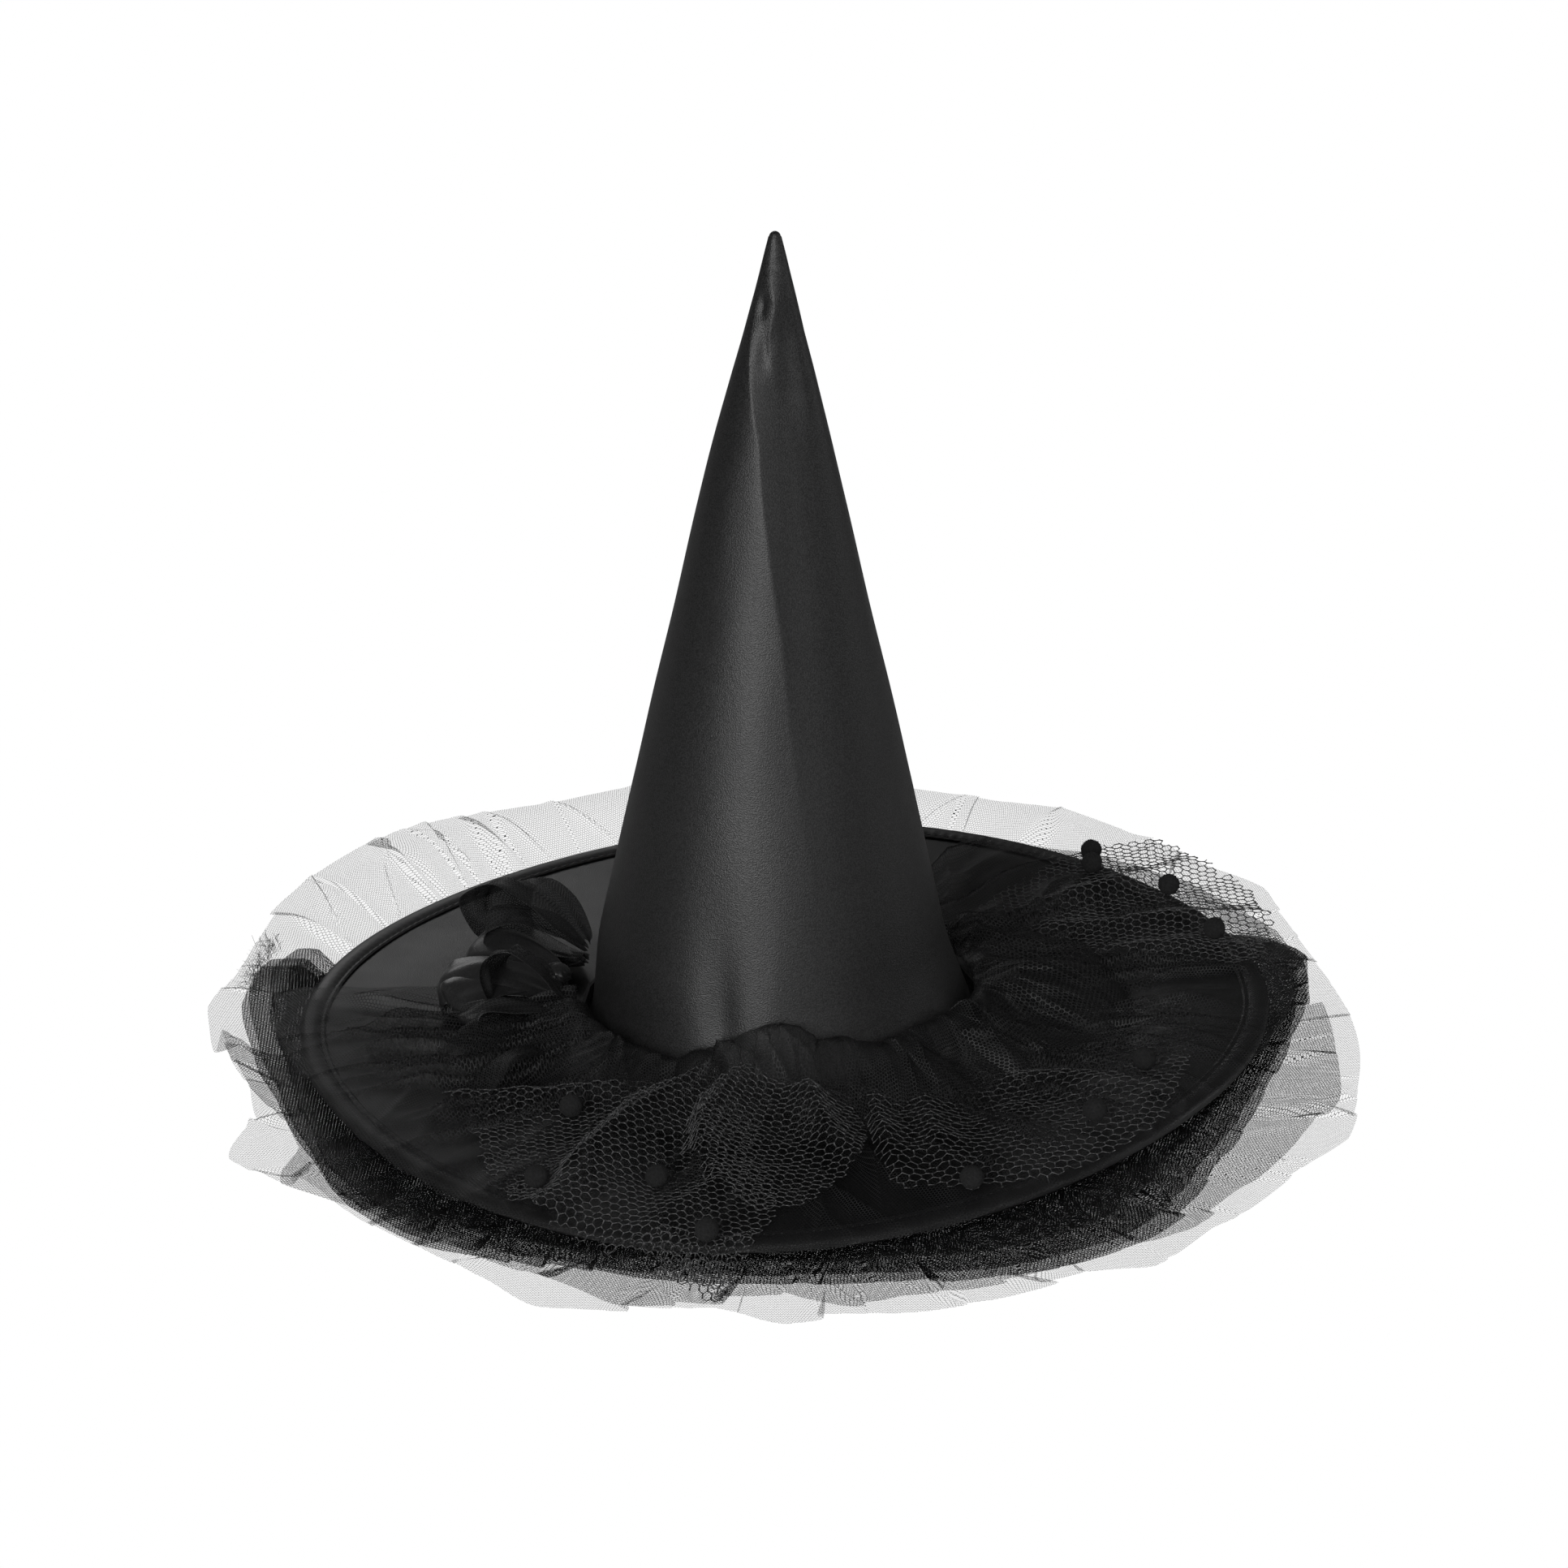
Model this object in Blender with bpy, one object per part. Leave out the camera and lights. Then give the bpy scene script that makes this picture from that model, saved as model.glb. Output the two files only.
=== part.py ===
"""Witch hat: satin crown on a wired brim, with tulle skirts, dotted veil nets and a ribbon rosette.

Metres, +Z up. The crown's axis is the Z axis and the lowest tulle ply lies on Z = 0. -Y is the front.
Every cloth piece is a plain closed solid: it has the right place, size and thickness, and no creases.
"""
from math import cos, pi, radians, sin, sqrt

import bmesh
import bpy
from mathutils import Vector

# Driving dimensions of the hat.
BRIM_PLANE = 0.013        # height of the brim's middle surface where it meets the crown
CROWN_HEIGHT = 0.357      # crown tip above the brim plane
CROWN_BASE_RADIUS = 0.0852
CROWN_SLOPE = 0.2312      # radius lost per metre of height
CROWN_BULGE = 0.0015      # how far the wall bows out at half height
TIP_RADIUS = 0.0038
TIP_LEAN = -0.0036        # the tip's shift along X
BRIM_INNER_RADIUS = 0.0825
BRIM_FLAT_RADIUS = 0.105  # the brim is flat out to here, and waves up and down beyond
BINDING_INNER_RADIUS = 0.199
BRIM_PLY_RADIUS = 0.2055  # where the brim's plies end, inside the binding
BRIM_RADIUS = 0.210
GAP = 0.0003              # left between pieces that touch

# The brim's rim waves: (rise in metres, number of waves round the rim, direction of a crest in degrees).
RIM_MEAN_LIFT = 0.0062
RIM_WAVES = [(0.0097, 1, -32), (0.0035, 2, -8), (0.0036, 3, -38)]

# Cloth thicknesses, which include the air between the threads.
SATIN = 0.0006
CROWN_SATIN_DROP = 0.0031     # a cone moved down by this leaves a wall of 0.7 mm
CROWN_STIFFENER_DROP = 0.0066
STIFFENER = 0.0012
TULLE = 0.0012
NET = 0.0012

# Heights of each layer's middle above the brim's middle surface.
OVERLAY_LEVEL = 0.0034
NET_LEVEL = 0.0063
FOLD_LEVEL = 0.0088
POMPOM_LEVEL = 0.0131
POMPOM_RADIUS = 0.0052

RING_STEPS = 36
CROWN_STEPS = 28


def smoothstep(value):
    value = min(max(value, 0.0), 1.0)
    return value * value * (3.0 - 2.0 * value)


def rim_lift(angle):
    """Height of the brim's rim above the brim plane."""
    waves = (rise * cos(count * (angle - radians(crest))) for rise, count, crest in RIM_WAVES)
    return RIM_MEAN_LIFT + sum(waves)


def brim_wave(x, y):
    """Height of the brim's middle surface above the brim plane."""
    place = Vector((x, y))
    if place.length < BRIM_FLAT_RADIUS:
        return 0.0
    share = smoothstep((place.length - BRIM_FLAT_RADIUS) / (BRIM_RADIUS - BRIM_FLAT_RADIUS))
    return share * rim_lift(-Vector((1.0, 0.0)).angle_signed(place))


def on_brim(x, y, level):
    """The point above (x, y) at a level over the brim's middle surface."""
    return Vector((x, y, BRIM_PLANE + brim_wave(x, y) + level))


def polar(radius, degrees, height=0.0):
    return Vector((radius * cos(radians(degrees)), radius * sin(radians(degrees)), height))


# Materials --------------------------------------------------------------------------------------------

def make_material(name, colour, roughness, metallic=0.0):
    material = bpy.data.materials.new(name)
    material.use_nodes = True
    shader = material.node_tree.nodes["Principled BSDF"]
    shader.inputs["Base Color"].default_value = (*colour, 1.0)
    shader.inputs["Roughness"].default_value = roughness
    shader.inputs["Metallic"].default_value = metallic
    return material


def make_materials():
    return {
        "satin": make_material("black_satin", (0.022, 0.022, 0.023), 0.38),
        "stiffener": make_material("black_nonwoven", (0.030, 0.030, 0.031), 0.90),
        "tulle": make_material("black_tulle", (0.016, 0.016, 0.017), 0.70),
        "net": make_material("black_veil_net", (0.012, 0.012, 0.012), 0.50),
        "pompom": make_material("black_pompom_fluff", (0.006, 0.006, 0.006), 1.00),
        "ribbon": make_material("black_satin_ribbon", (0.020, 0.020, 0.021), 0.42),
        "tape": make_material("black_cotton_tape", (0.025, 0.025, 0.025), 0.85),
        "steel": make_material("brim_wire_steel", (0.520, 0.520, 0.540), 0.35, 1.0),
    }


# Ways of making a solid ---------------------------------------------------------------------------------

def add_object(name, mesh, material):
    piece = bpy.data.objects.new(name, mesh)
    bpy.context.scene.collection.objects.link(piece)
    piece.data.materials.append(material)
    return piece


def finish_mesh(name, bm, material):
    """Quads split along their shorter diagonal, so that plies over each other split alike and stay clear."""
    bmesh.ops.triangulate(bm, faces=bm.faces[:], quad_method="SHORT_EDGE")
    bmesh.ops.recalc_face_normals(bm, faces=bm.faces)
    mesh = bpy.data.meshes.new(name)
    bm.to_mesh(mesh)
    bm.free()
    mesh.shade_smooth()
    mesh.set_sharp_from_angle(angle=radians(40))
    return add_object(name, mesh, material)


def turned(name, section, steps, material, shape):
    """A full ring: a closed section of (radius, height) points spun round Z, then moved by shape(point)."""
    bm = bmesh.new()
    corners = [bm.verts.new((radius, 0.0, height)) for radius, height in section]
    for index, corner in enumerate(corners):
        bm.edges.new((corner, corners[(index + 1) % len(corners)]))
    bmesh.ops.spin(bm, geom=bm.verts[:] + bm.edges[:], axis=(0, 0, 1), cent=(0, 0, 0),
                   angle=2 * pi, steps=steps)
    bmesh.ops.remove_doubles(bm, verts=bm.verts[:], dist=1e-6)
    bmesh.ops.dissolve_degenerate(bm, edges=bm.edges[:], dist=1e-7)
    for vert in bm.verts:
        vert.co = shape(vert.co.copy())
    return finish_mesh(name, bm, material)


def cloth(name, point, columns, rows, thickness, material):
    """An open ply: point(u, v) gives its middle surface, which Solidify thickens both ways."""
    bm = bmesh.new()
    grid = [[bm.verts.new(point(column / columns, row / rows)) for column in range(columns + 1)]
            for row in range(rows + 1)]
    for row in range(rows):
        for column in range(columns):
            bm.faces.new((grid[row][column], grid[row][column + 1],
                          grid[row + 1][column + 1], grid[row + 1][column]))
    piece = finish_mesh(name, bm, material)
    solid = piece.modifiers.new("ply", "SOLIDIFY")
    solid.thickness = thickness
    solid.offset = 0.0
    return piece


def between(points, share):
    """The point at a share of the way along a polyline, its corners evenly shared."""
    place = share * (len(points) - 1)
    index = min(int(place), len(points) - 2)
    return Vector(points[index]).lerp(Vector(points[index + 1]), place - index)


def ply_section(radii, bottom, top):
    return [(radius, bottom) for radius in radii] + [(radius, top) for radius in reversed(radii)]


# Crown ------------------------------------------------------------------------------------------------

def crown_radius(height):
    """Outer radius of the crown at a height over the brim plane."""
    wall = CROWN_BASE_RADIUS - CROWN_SLOPE * height + CROWN_BULGE * sin(pi * height / CROWN_HEIGHT)
    from_tip = CROWN_HEIGHT - height
    if from_tip > TIP_RADIUS:
        return wall
    return min(wall, sqrt(max(from_tip * (2 * TIP_RADIUS - from_tip), 0.0)))


def lean(point):
    """Raises a crown point to the brim plane and leans the tip."""
    point.x += TIP_LEAN * (point.z / CROWN_HEIGHT) ** 2
    point.z += BRIM_PLANE
    return point


def crown_wall(drop, bottom, rings):
    """Profile points of the crown's outer surface moved down by drop, from bottom up to the apex."""
    tip = CROWN_HEIGHT - drop
    round_start = tip - TIP_RADIUS
    heights = [bottom + (round_start - bottom) * ring / rings for ring in range(rings + 1)]
    heights += [tip - TIP_RADIUS * 0.45, tip - TIP_RADIUS * 0.1]
    return [(crown_radius(height + drop), height) for height in heights] + [(0.0, tip)]


def add_crown(mats):
    flange_bottom = STIFFENER / 2 + GAP + SATIN + GAP
    flange_top = flange_bottom + 0.0007
    flange = [(0.0920, flange_bottom), (0.0920, flange_top), (0.0860, flange_top)]
    outside = crown_wall(0.0, 0.0045, 5)
    inside = list(reversed(crown_wall(CROWN_SATIN_DROP, flange_bottom, 5)))
    turned("crown_satin_cover", flange + outside + inside, CROWN_STEPS, mats["satin"], lean)

    outer_drop = CROWN_SATIN_DROP + GAP / CROWN_SLOPE
    inner_drop = outer_drop + CROWN_STIFFENER_DROP
    outside = crown_wall(outer_drop, flange_bottom, 5)
    inside = list(reversed(crown_wall(inner_drop, flange_bottom, 5)))
    turned("crown_interlining", outside + inside, CROWN_STEPS, mats["stiffener"], lean)

    tape_drop = inner_drop + (GAP + 0.0004) / CROWN_SLOPE
    tape_bottom, tape_top, tape_half_width = 0.031, 0.300, 0.006

    def seam_tape(u, v):
        height = tape_bottom + (tape_top - tape_bottom) * v
        radius = crown_radius(height + tape_drop)
        across = (u - 0.5) * 2 * tape_half_width * min(1.0, radius / 0.02)
        return lean(Vector((across, sqrt(radius * radius - across * across) - 0.0002, height)))

    cloth("crown_back_seam_tape", seam_tape, 2, 10, 0.0008, mats["tape"])

    band_bottom, band_top = -0.0012, 0.0265
    band_outer_drop, band_inner_drop = 0.0155, 0.0205
    section = [(crown_radius(height + band_outer_drop), height) for height in (band_bottom, 0.012, band_top)]
    section += [(crown_radius(height + band_inner_drop), height) for height in (band_top, 0.012, band_bottom)]
    turned("sweatband", section, CROWN_STEPS, mats["tape"], lean)


# Brim -------------------------------------------------------------------------------------------------

def follow_brim(point):
    return on_brim(point.x, point.y, point.z)


def add_brim(mats):
    radii = [BRIM_INNER_RADIUS, BRIM_FLAT_RADIUS, 0.140, 0.175, BINDING_INNER_RADIUS, BRIM_PLY_RADIUS]
    half_core = STIFFENER / 2
    cover_bottom = half_core + GAP
    cover_top = cover_bottom + SATIN
    plies = [("brim_interlining", -half_core, half_core, "stiffener"),
             ("brim_top_cover", cover_bottom, cover_top, "satin"),
             ("brim_under_cover", -cover_top, -cover_bottom, "satin")]
    for name, bottom, top, slot in plies:
        turned(name, ply_section(radii, bottom, top), RING_STEPS, mats[slot], follow_brim)

    upper_half = [(BINDING_INNER_RADIUS, 0.0018), (BINDING_INNER_RADIUS, 0.0024), (0.2060, 0.0024),
                  (0.2085, 0.0019), (BRIM_RADIUS, 0.0008)]
    upper_inside = [(0.2094, 0.0005), (0.2078, 0.0014), (0.2055, 0.0018)]
    outside = upper_half + [(radius, -height) for radius, height in reversed(upper_half)]
    inside = [(radius, -height) for radius, height in reversed(upper_inside)] + upper_inside
    turned("brim_edge_binding", outside + inside, RING_STEPS, mats["satin"], follow_brim)
    add_brim_wire(mats)


def add_brim_wire(mats):
    """The steel hoop in the binding: an open wire whose ends meet in a crimped sleeve at the back."""
    hoop_radius, wire_radius, end_gap, points = 0.2076, 0.0004, 0.4, 55
    curve = bpy.data.curves.new("brim_wire", "CURVE")
    curve.dimensions = "3D"
    curve.bevel_depth = wire_radius
    curve.bevel_resolution = 1
    curve.use_fill_caps = True
    spline = curve.splines.new("POLY")
    spline.points.add(points - 1)
    for index, point in enumerate(spline.points):
        degrees = 90 + end_gap + (360 - 2 * end_gap) * index / (points - 1)
        flat = polar(hoop_radius, degrees)
        point.co = (*on_brim(flat.x, flat.y, 0.0), 1.0)
    add_object("brim_wire", curve, mats["steel"])

    inner, outer, half_length, stations, sides = 0.00068, 0.00098, 2.4, 4, 8
    bm = bmesh.new()
    loops = []
    for station in range(stations + 1):
        degrees = 90 - half_length + 2 * half_length * station / stations
        for radius in (inner, outer):
            loop = []
            for side in range(sides):
                turn = 2 * pi * side / sides
                flat = polar(hoop_radius + radius * cos(turn), degrees)
                loop.append(bm.verts.new(on_brim(flat.x, flat.y, radius * sin(turn))))
            loops.append(loop)

    def bridge(first, second):
        for side in range(sides):
            after = (side + 1) % sides
            bm.faces.new((first[side], first[after], second[after], second[side]))

    for index in range(len(loops) - 2):
        bridge(loops[index], loops[index + 2])
    bridge(loops[0], loops[1])
    bridge(loops[-2], loops[-1])
    finish_mesh("brim_wire_joiner", bm, mats["steel"])


# Tulle skirts under the brim --------------------------------------------------------------------------

SKIRT_SEAM_RADIUS = 0.120
SKIRT_FLOOR_RADIUS = 0.152
HEM_WAVE_START = 0.213
HEM_RADIUS = 0.2525

# Rings that the plies share, so that they nest. The inner skirts end on an earlier ring than the outer one.
SKIRT_RINGS = [SKIRT_SEAM_RADIUS, 0.136, SKIRT_FLOOR_RADIUS, 0.200, HEM_WAVE_START, 0.226, 0.238, HEM_RADIUS]


def hem_lift(radius, angle):
    """How far the skirts rise off the table outside the brim: small waves, and a stand at the back."""
    reach = (radius - HEM_WAVE_START) / (HEM_RADIUS - HEM_WAVE_START)
    ripple = 0.0035 * smoothstep(reach) * (0.5 - 0.5 * cos(10 * angle))
    stand = 0.014 * smoothstep(reach) * max(sin(angle + 0.3), 0.0) ** 2
    return ripple + stand


def hem_spread(radius, angle):
    """How far the hem reaches past an even ring."""
    return smoothstep((radius - 0.2) / 0.05) * (0.0025 * sin(angle) ** 2 + 0.003 * sin(2 * angle) ** 2)


def skirt_shape(seam_level, table_level):
    """Lets a flat ring down from its seam under the brim to the table, and waves its hem."""
    def shape(point):
        flat = Vector((point.x, point.y))
        angle = -Vector((1.0, 0.0)).angle_signed(flat)
        let_down = smoothstep((flat.length - SKIRT_SEAM_RADIUS) / (SKIRT_FLOOR_RADIUS - SKIRT_SEAM_RADIUS))
        level = seam_level + (table_level - seam_level) * let_down + hem_lift(flat.length, angle)
        place = flat.normalized() * (flat.length + hem_spread(flat.length, angle))
        return Vector((place.x, place.y, level + point.z))
    return shape


def add_skirts(mats):
    skirts = [("outer_tulle_skirt", 8, 0.0070, 0.0006),
              ("inner_tulle_skirt_lower", 7, 0.0085, 0.0021),
              ("inner_tulle_skirt_upper", 6, 0.0100, 0.0036)]
    for name, rings, seam_level, table_level in skirts:
        section = ply_section(SKIRT_RINGS[:rings], -TULLE / 2, TULLE / 2)
        turned(name, section, RING_STEPS, mats["tulle"], skirt_shape(seam_level, table_level))


# Tulle on top of the brim -----------------------------------------------------------------------------

def add_overlay(mats):
    """The gathered tulle that lies on the brim, from the left round the front to the right."""
    step = 360 / RING_STEPS
    start, columns = -19 * step, 26
    radii = [0.0945, BRIM_FLAT_RADIUS, 0.140, 0.175, BINDING_INNER_RADIUS, 0.2075, 0.2155]
    rows = len(radii) - 1

    def overlay(u, v):
        flat = polar(radii[round(v * rows)], start + columns * step * u)
        return on_brim(flat.x, flat.y, OVERLAY_LEVEL)

    cloth("brim_tulle_overlay", overlay, columns, rows, TULLE, mats["tulle"])


def add_gather(mats):
    """The tape that holds the gathers to the crown, and the frill that stands up out of it."""
    section = [(0.0872, 0.0029), (0.0886, 0.0029), (0.0886, 0.0089), (0.0872, 0.0089)]
    turned("ruffle_gather_tape", section, CROWN_STEPS, mats["tape"], follow_brim)

    foot, foot_level, lift = 0.0936, 0.0052, 0.0190
    frills = [("crown_frill_left", -158, -100, 0.118), ("crown_frill_front", -98, -32, 0.116),
              ("crown_frill_right", -28, 26, 0.126)]
    for name, start, end, top_radius in frills:
        def frill(u, v, start=start, end=end, top_radius=top_radius):
            pleat = 0.0022 * v * sin(u * (end - start) / 60 * 5 * 2 * pi)
            height = BRIM_PLANE + foot_level + lift * (1.0 - (1.0 - v) ** 2) * (0.8 + 0.2 * sin(u * pi))
            return polar(foot + (top_radius - foot) * v + pleat, start + (end - start) * u, height)

        cloth(name, frill, 18, 3, TULLE, mats["tulle"])


# Dotted veil nets, each lofted from an inner edge by the crown to an outer edge -------------------------

def add_net(name, inner_edge, outer_edge, level, material, hump=0.0, droop=0.0):
    def net(u, v):
        flat = between(inner_edge, u).lerp(between(outer_edge, u), v)
        rise = hump * sin(pi * u) * sin(pi * v)
        overhang = max(flat.length - BRIM_RADIUS - 0.007, 0.0) / 0.03
        return on_brim(flat.x, flat.y, level + rise - droop * min(overhang, 1.0) ** 2)

    cloth(name, net, 10, 7, NET, material)


def add_nets(mats):
    add_net("dotted_net_front_left",
            [(-0.144, -0.086), (-0.112, -0.084), (-0.080, -0.092), (-0.052, -0.112), (-0.042, -0.128)],
            [(-0.126, -0.158), (-0.112, -0.188), (-0.066, -0.224), (-0.026, -0.242), (-0.014, -0.206)],
            NET_LEVEL, mats["net"], droop=0.004)
    add_net("dotted_net_centre_fold",
            [(-0.033, -0.123), (-0.012, -0.121), (0.020, -0.120)],
            [(-0.026, -0.160), (-0.007, -0.186), (0.024, -0.158)],
            FOLD_LEVEL, mats["net"], hump=0.011)
    add_net("dotted_net_front_right",
            [(0.030, -0.124), (0.070, -0.102), (0.104, -0.070), (0.124, -0.034)],
            [(0.040, -0.190), (0.100, -0.192), (0.148, -0.146), (0.172, -0.030)],
            NET_LEVEL, mats["net"])
    add_net("dotted_net_back_right",
            [(0.126, 0.034), (0.118, 0.062), (0.106, 0.092)],
            [(0.214, 0.034), (0.206, 0.096), (0.150, 0.160)],
            NET_LEVEL, mats["net"])


# Where each pompom is glued, front left to back right.
POMPOM_PLACES = [
    (-0.0884, -0.1045), (-0.0998, -0.1696), (-0.0511, -0.1679), (-0.0304, -0.2150),
    (0.0749, -0.1880), (0.1267, -0.1396), (0.1502, -0.0918),
    (0.1907, 0.0454), (0.1746, 0.0994), (0.1414, 0.1285), (0.1420, 0.1425),
]


def add_pompoms(mats):
    for number, (x, y) in enumerate(POMPOM_PLACES, start=1):
        bm = bmesh.new()
        bmesh.ops.create_icosphere(bm, subdivisions=2, radius=POMPOM_RADIUS)
        bmesh.ops.translate(bm, vec=on_brim(x, y, POMPOM_LEVEL), verts=bm.verts[:])
        finish_mesh(f"pompom_{number:02d}", bm, mats["pompom"])


# Ribbon rosette ---------------------------------------------------------------------------------------

KNOT_CENTRE = Vector((-0.1000, 0.0240))
KNOT_LEVEL = 0.0125
KNOT_RADIUS = 0.0060


def ribbon_loop(name, degrees, reach, height, width, material):
    """A loop of ribbon: out from the knot along the brim, round, and back to the knot from above."""
    start, foot_level, end_level = KNOT_RADIUS + 0.004, 0.0056, 0.0140
    direction = polar(1.0, degrees)
    side = polar(1.0, degrees + 90)

    def loop(u, v):
        turn = u * 2 * pi
        out = start + (reach - start) * (0.5 - 0.5 * cos(turn))
        level = foot_level + (end_level - foot_level) * u + (height - end_level) * smoothstep(u) * sin(u * pi)
        half_width = width * (0.12 + 0.38 * sin(pi * u) ** 2)
        spread = side * half_width * (2 * v - 1)
        place = KNOT_CENTRE + direction.xy * out + spread.xy
        return Vector((place.x, place.y, BRIM_PLANE + max(brim_wave(place.x, place.y), 0.0) + level))

    cloth(name, loop, 12, 3, SATIN, material)


def add_rosette(mats):
    loops = [("rosette_satin_loop_upper", 118, 0.044, 0.030, 0.018, "ribbon"),
             ("rosette_tulle_loop_upper", 152, 0.046, 0.026, 0.018, "tulle"),
             ("rosette_satin_loop_left", 184, 0.050, 0.020, 0.018, "ribbon"),
             ("rosette_tulle_loop_lower", 216, 0.046, 0.024, 0.018, "tulle"),
             ("rosette_satin_loop_lower", 250, 0.044, 0.022, 0.016, "ribbon")]
    for name, degrees, reach, height, width, slot in loops:
        ribbon_loop(name, degrees, reach, height, width, mats[slot])

    bm = bmesh.new()
    bmesh.ops.create_icosphere(bm, subdivisions=2, radius=KNOT_RADIUS)
    bmesh.ops.translate(bm, vec=(*KNOT_CENTRE, BRIM_PLANE + KNOT_LEVEL), verts=bm.verts[:])
    finish_mesh("rosette_knot", bm, mats["ribbon"])

    add_net("rosette_tulle_tail",
            [(-0.108, -0.030), (-0.107, -0.040), (-0.104, -0.050)],
            [(-0.146, -0.046), (-0.140, -0.064), (-0.126, -0.078)],
            NET_LEVEL, mats["tulle"])


def build_hat():
    for old in list(bpy.data.objects):
        bpy.data.objects.remove(old)
    mats = make_materials()
    add_crown(mats)
    add_brim(mats)
    add_skirts(mats)
    add_overlay(mats)
    add_gather(mats)
    add_nets(mats)
    add_pompoms(mats)
    add_rosette(mats)


build_hat()
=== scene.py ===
"""Looks of the witch hat: satin crown and brim, gathered tulle, dotted veil nets, pompoms and rosette.

Metres, +Z up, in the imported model's frame. -Y is the front, and angles are degrees from +X.
"""
from math import cos, pi, radians, sin, sqrt

import bmesh
import bpy
import numpy as np
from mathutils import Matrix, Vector


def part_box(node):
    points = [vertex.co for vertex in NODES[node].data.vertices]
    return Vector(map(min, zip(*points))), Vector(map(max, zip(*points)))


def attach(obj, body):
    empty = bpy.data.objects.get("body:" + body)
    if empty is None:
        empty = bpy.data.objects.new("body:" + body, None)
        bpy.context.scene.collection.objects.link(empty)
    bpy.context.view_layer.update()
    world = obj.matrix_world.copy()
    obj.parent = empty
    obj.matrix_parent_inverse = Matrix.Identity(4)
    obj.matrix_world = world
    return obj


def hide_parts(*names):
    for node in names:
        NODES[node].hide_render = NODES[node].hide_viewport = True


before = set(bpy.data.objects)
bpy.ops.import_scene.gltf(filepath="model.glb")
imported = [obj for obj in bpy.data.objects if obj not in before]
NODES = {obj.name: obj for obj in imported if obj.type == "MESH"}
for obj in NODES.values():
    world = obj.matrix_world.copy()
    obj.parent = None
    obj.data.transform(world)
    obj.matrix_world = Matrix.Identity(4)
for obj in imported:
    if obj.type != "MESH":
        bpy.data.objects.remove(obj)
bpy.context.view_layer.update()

# Places read from the frame.
BRIM_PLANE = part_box("ruffle_gather_tape")[0].z - 0.0029
CROWN_HEIGHT = 0.3595
BRIM_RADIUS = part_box("brim_edge_binding")[1].x

# The crown's and the brim's shape, as the CAD model has them.
CROWN_BASE_RADIUS = 0.0852
CROWN_SLOPE = 0.2312
CROWN_BULGE = 0.0015
CROWN_BELLY = 0.0010
TIP_RADIUS = 0.0024
CROWN_LEAN = -0.0050
TIP_RETURN = 0.0013
BRIM_INNER_RADIUS = 0.0825
BRIM_FLAT_RADIUS = 0.105
RIM_MEAN_LIFT = 0.0062
RIM_WAVES = [(0.0097, 1, -32), (0.0035, 2, -8), (0.0036, 3, -38)]


# NUMBERS AND NOISE

def middle_of(node):
    low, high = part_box(node)
    return (low + high) / 2


def metres(points):
    """Points of (degrees, millimetres), with the second in metres."""
    return [(degrees, length / 1000) for degrees, length in points]


def smooth(value):
    value = np.clip(value, 0.0, 1.0)
    return value * value * (3.0 - 2.0 * value)


def bell(value):
    return np.exp(-value * value)


NOISE_CELLS = 64
NOISE_TABLES = np.random.default_rng(11).uniform(-1.0, 1.0, (32, NOISE_CELLS, NOISE_CELLS))


def noise(x, y, seed, period=NOISE_CELLS):
    """Smooth noise from -1 to 1, one bump per unit, which repeats along x after period units."""
    table = NOISE_TABLES[seed % len(NOISE_TABLES)]
    x, y = np.broadcast_arrays(np.asarray(x, float), np.asarray(y, float))
    cell_x, cell_y = np.floor(x).astype(int), np.floor(y).astype(int)
    part_x, part_y = smooth(x - cell_x), smooth(y - cell_y)
    left, right = cell_x % period, (cell_x + 1) % period
    low, high = cell_y % NOISE_CELLS, (cell_y + 1) % NOISE_CELLS
    bottom = table[left, low] * (1 - part_x) + table[right, low] * part_x
    top = table[left, high] * (1 - part_x) + table[right, high] * part_x
    return bottom * (1 - part_y) + top * part_y


def outline(points, angle):
    """Radius at an angle in degrees, smoothly between (degrees, radius) points all the way round."""
    points = sorted(points)
    degrees = np.array([p[0] for p in points], float)
    radius = np.array([p[1] for p in points], float)
    degrees = np.concatenate([degrees[-2:] - 360, degrees, degrees[:3] + 360])
    radius = np.concatenate([radius[-2:], radius, radius[:3]])
    angle = (np.asarray(angle, float) - points[0][0]) % 360 + points[0][0]
    index = np.clip(np.searchsorted(degrees, angle, side="right") - 1, 1, len(degrees) - 3)
    share = (angle - degrees[index]) / (degrees[index + 1] - degrees[index])
    share = share + 0.55 * (smooth(share) - share)
    return radius[index] * (1 - share) + radius[index + 1] * share


def along(points, share):
    """The point at a share of the way along a smooth line through the points, as an array."""
    points = np.array(points, float)
    place = np.clip(np.asarray(share, float), 0, 1) * (len(points) - 1)
    index = np.clip(place.astype(int), 0, len(points) - 2)
    t = (place - index)[..., None]
    before, after = np.maximum(index - 1, 0), np.minimum(index + 2, len(points) - 1)
    p0, p1, p2, p3 = points[before], points[index], points[index + 1], points[after]
    return p1 + 0.5 * t * (p2 - p0 + t * (2 * p0 - 5 * p1 + 4 * p2 - p3 + t * (3 * (p1 - p2) + p3 - p0)))


# THE SHAPES THAT EVERYTHING IS LAID ON

def rim_lift(angle):
    waves = [rise * np.cos(count * (angle - radians(crest))) for rise, count, crest in RIM_WAVES]
    return RIM_MEAN_LIFT + sum(waves)


def brim_middle(x, y):
    """Height of the brim's middle surface, carried on level past the rim."""
    share = smooth((np.hypot(x, y) - BRIM_FLAT_RADIUS) / (BRIM_RADIUS - BRIM_FLAT_RADIUS))
    return BRIM_PLANE + share * rim_lift(np.arctan2(y, x))


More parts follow.
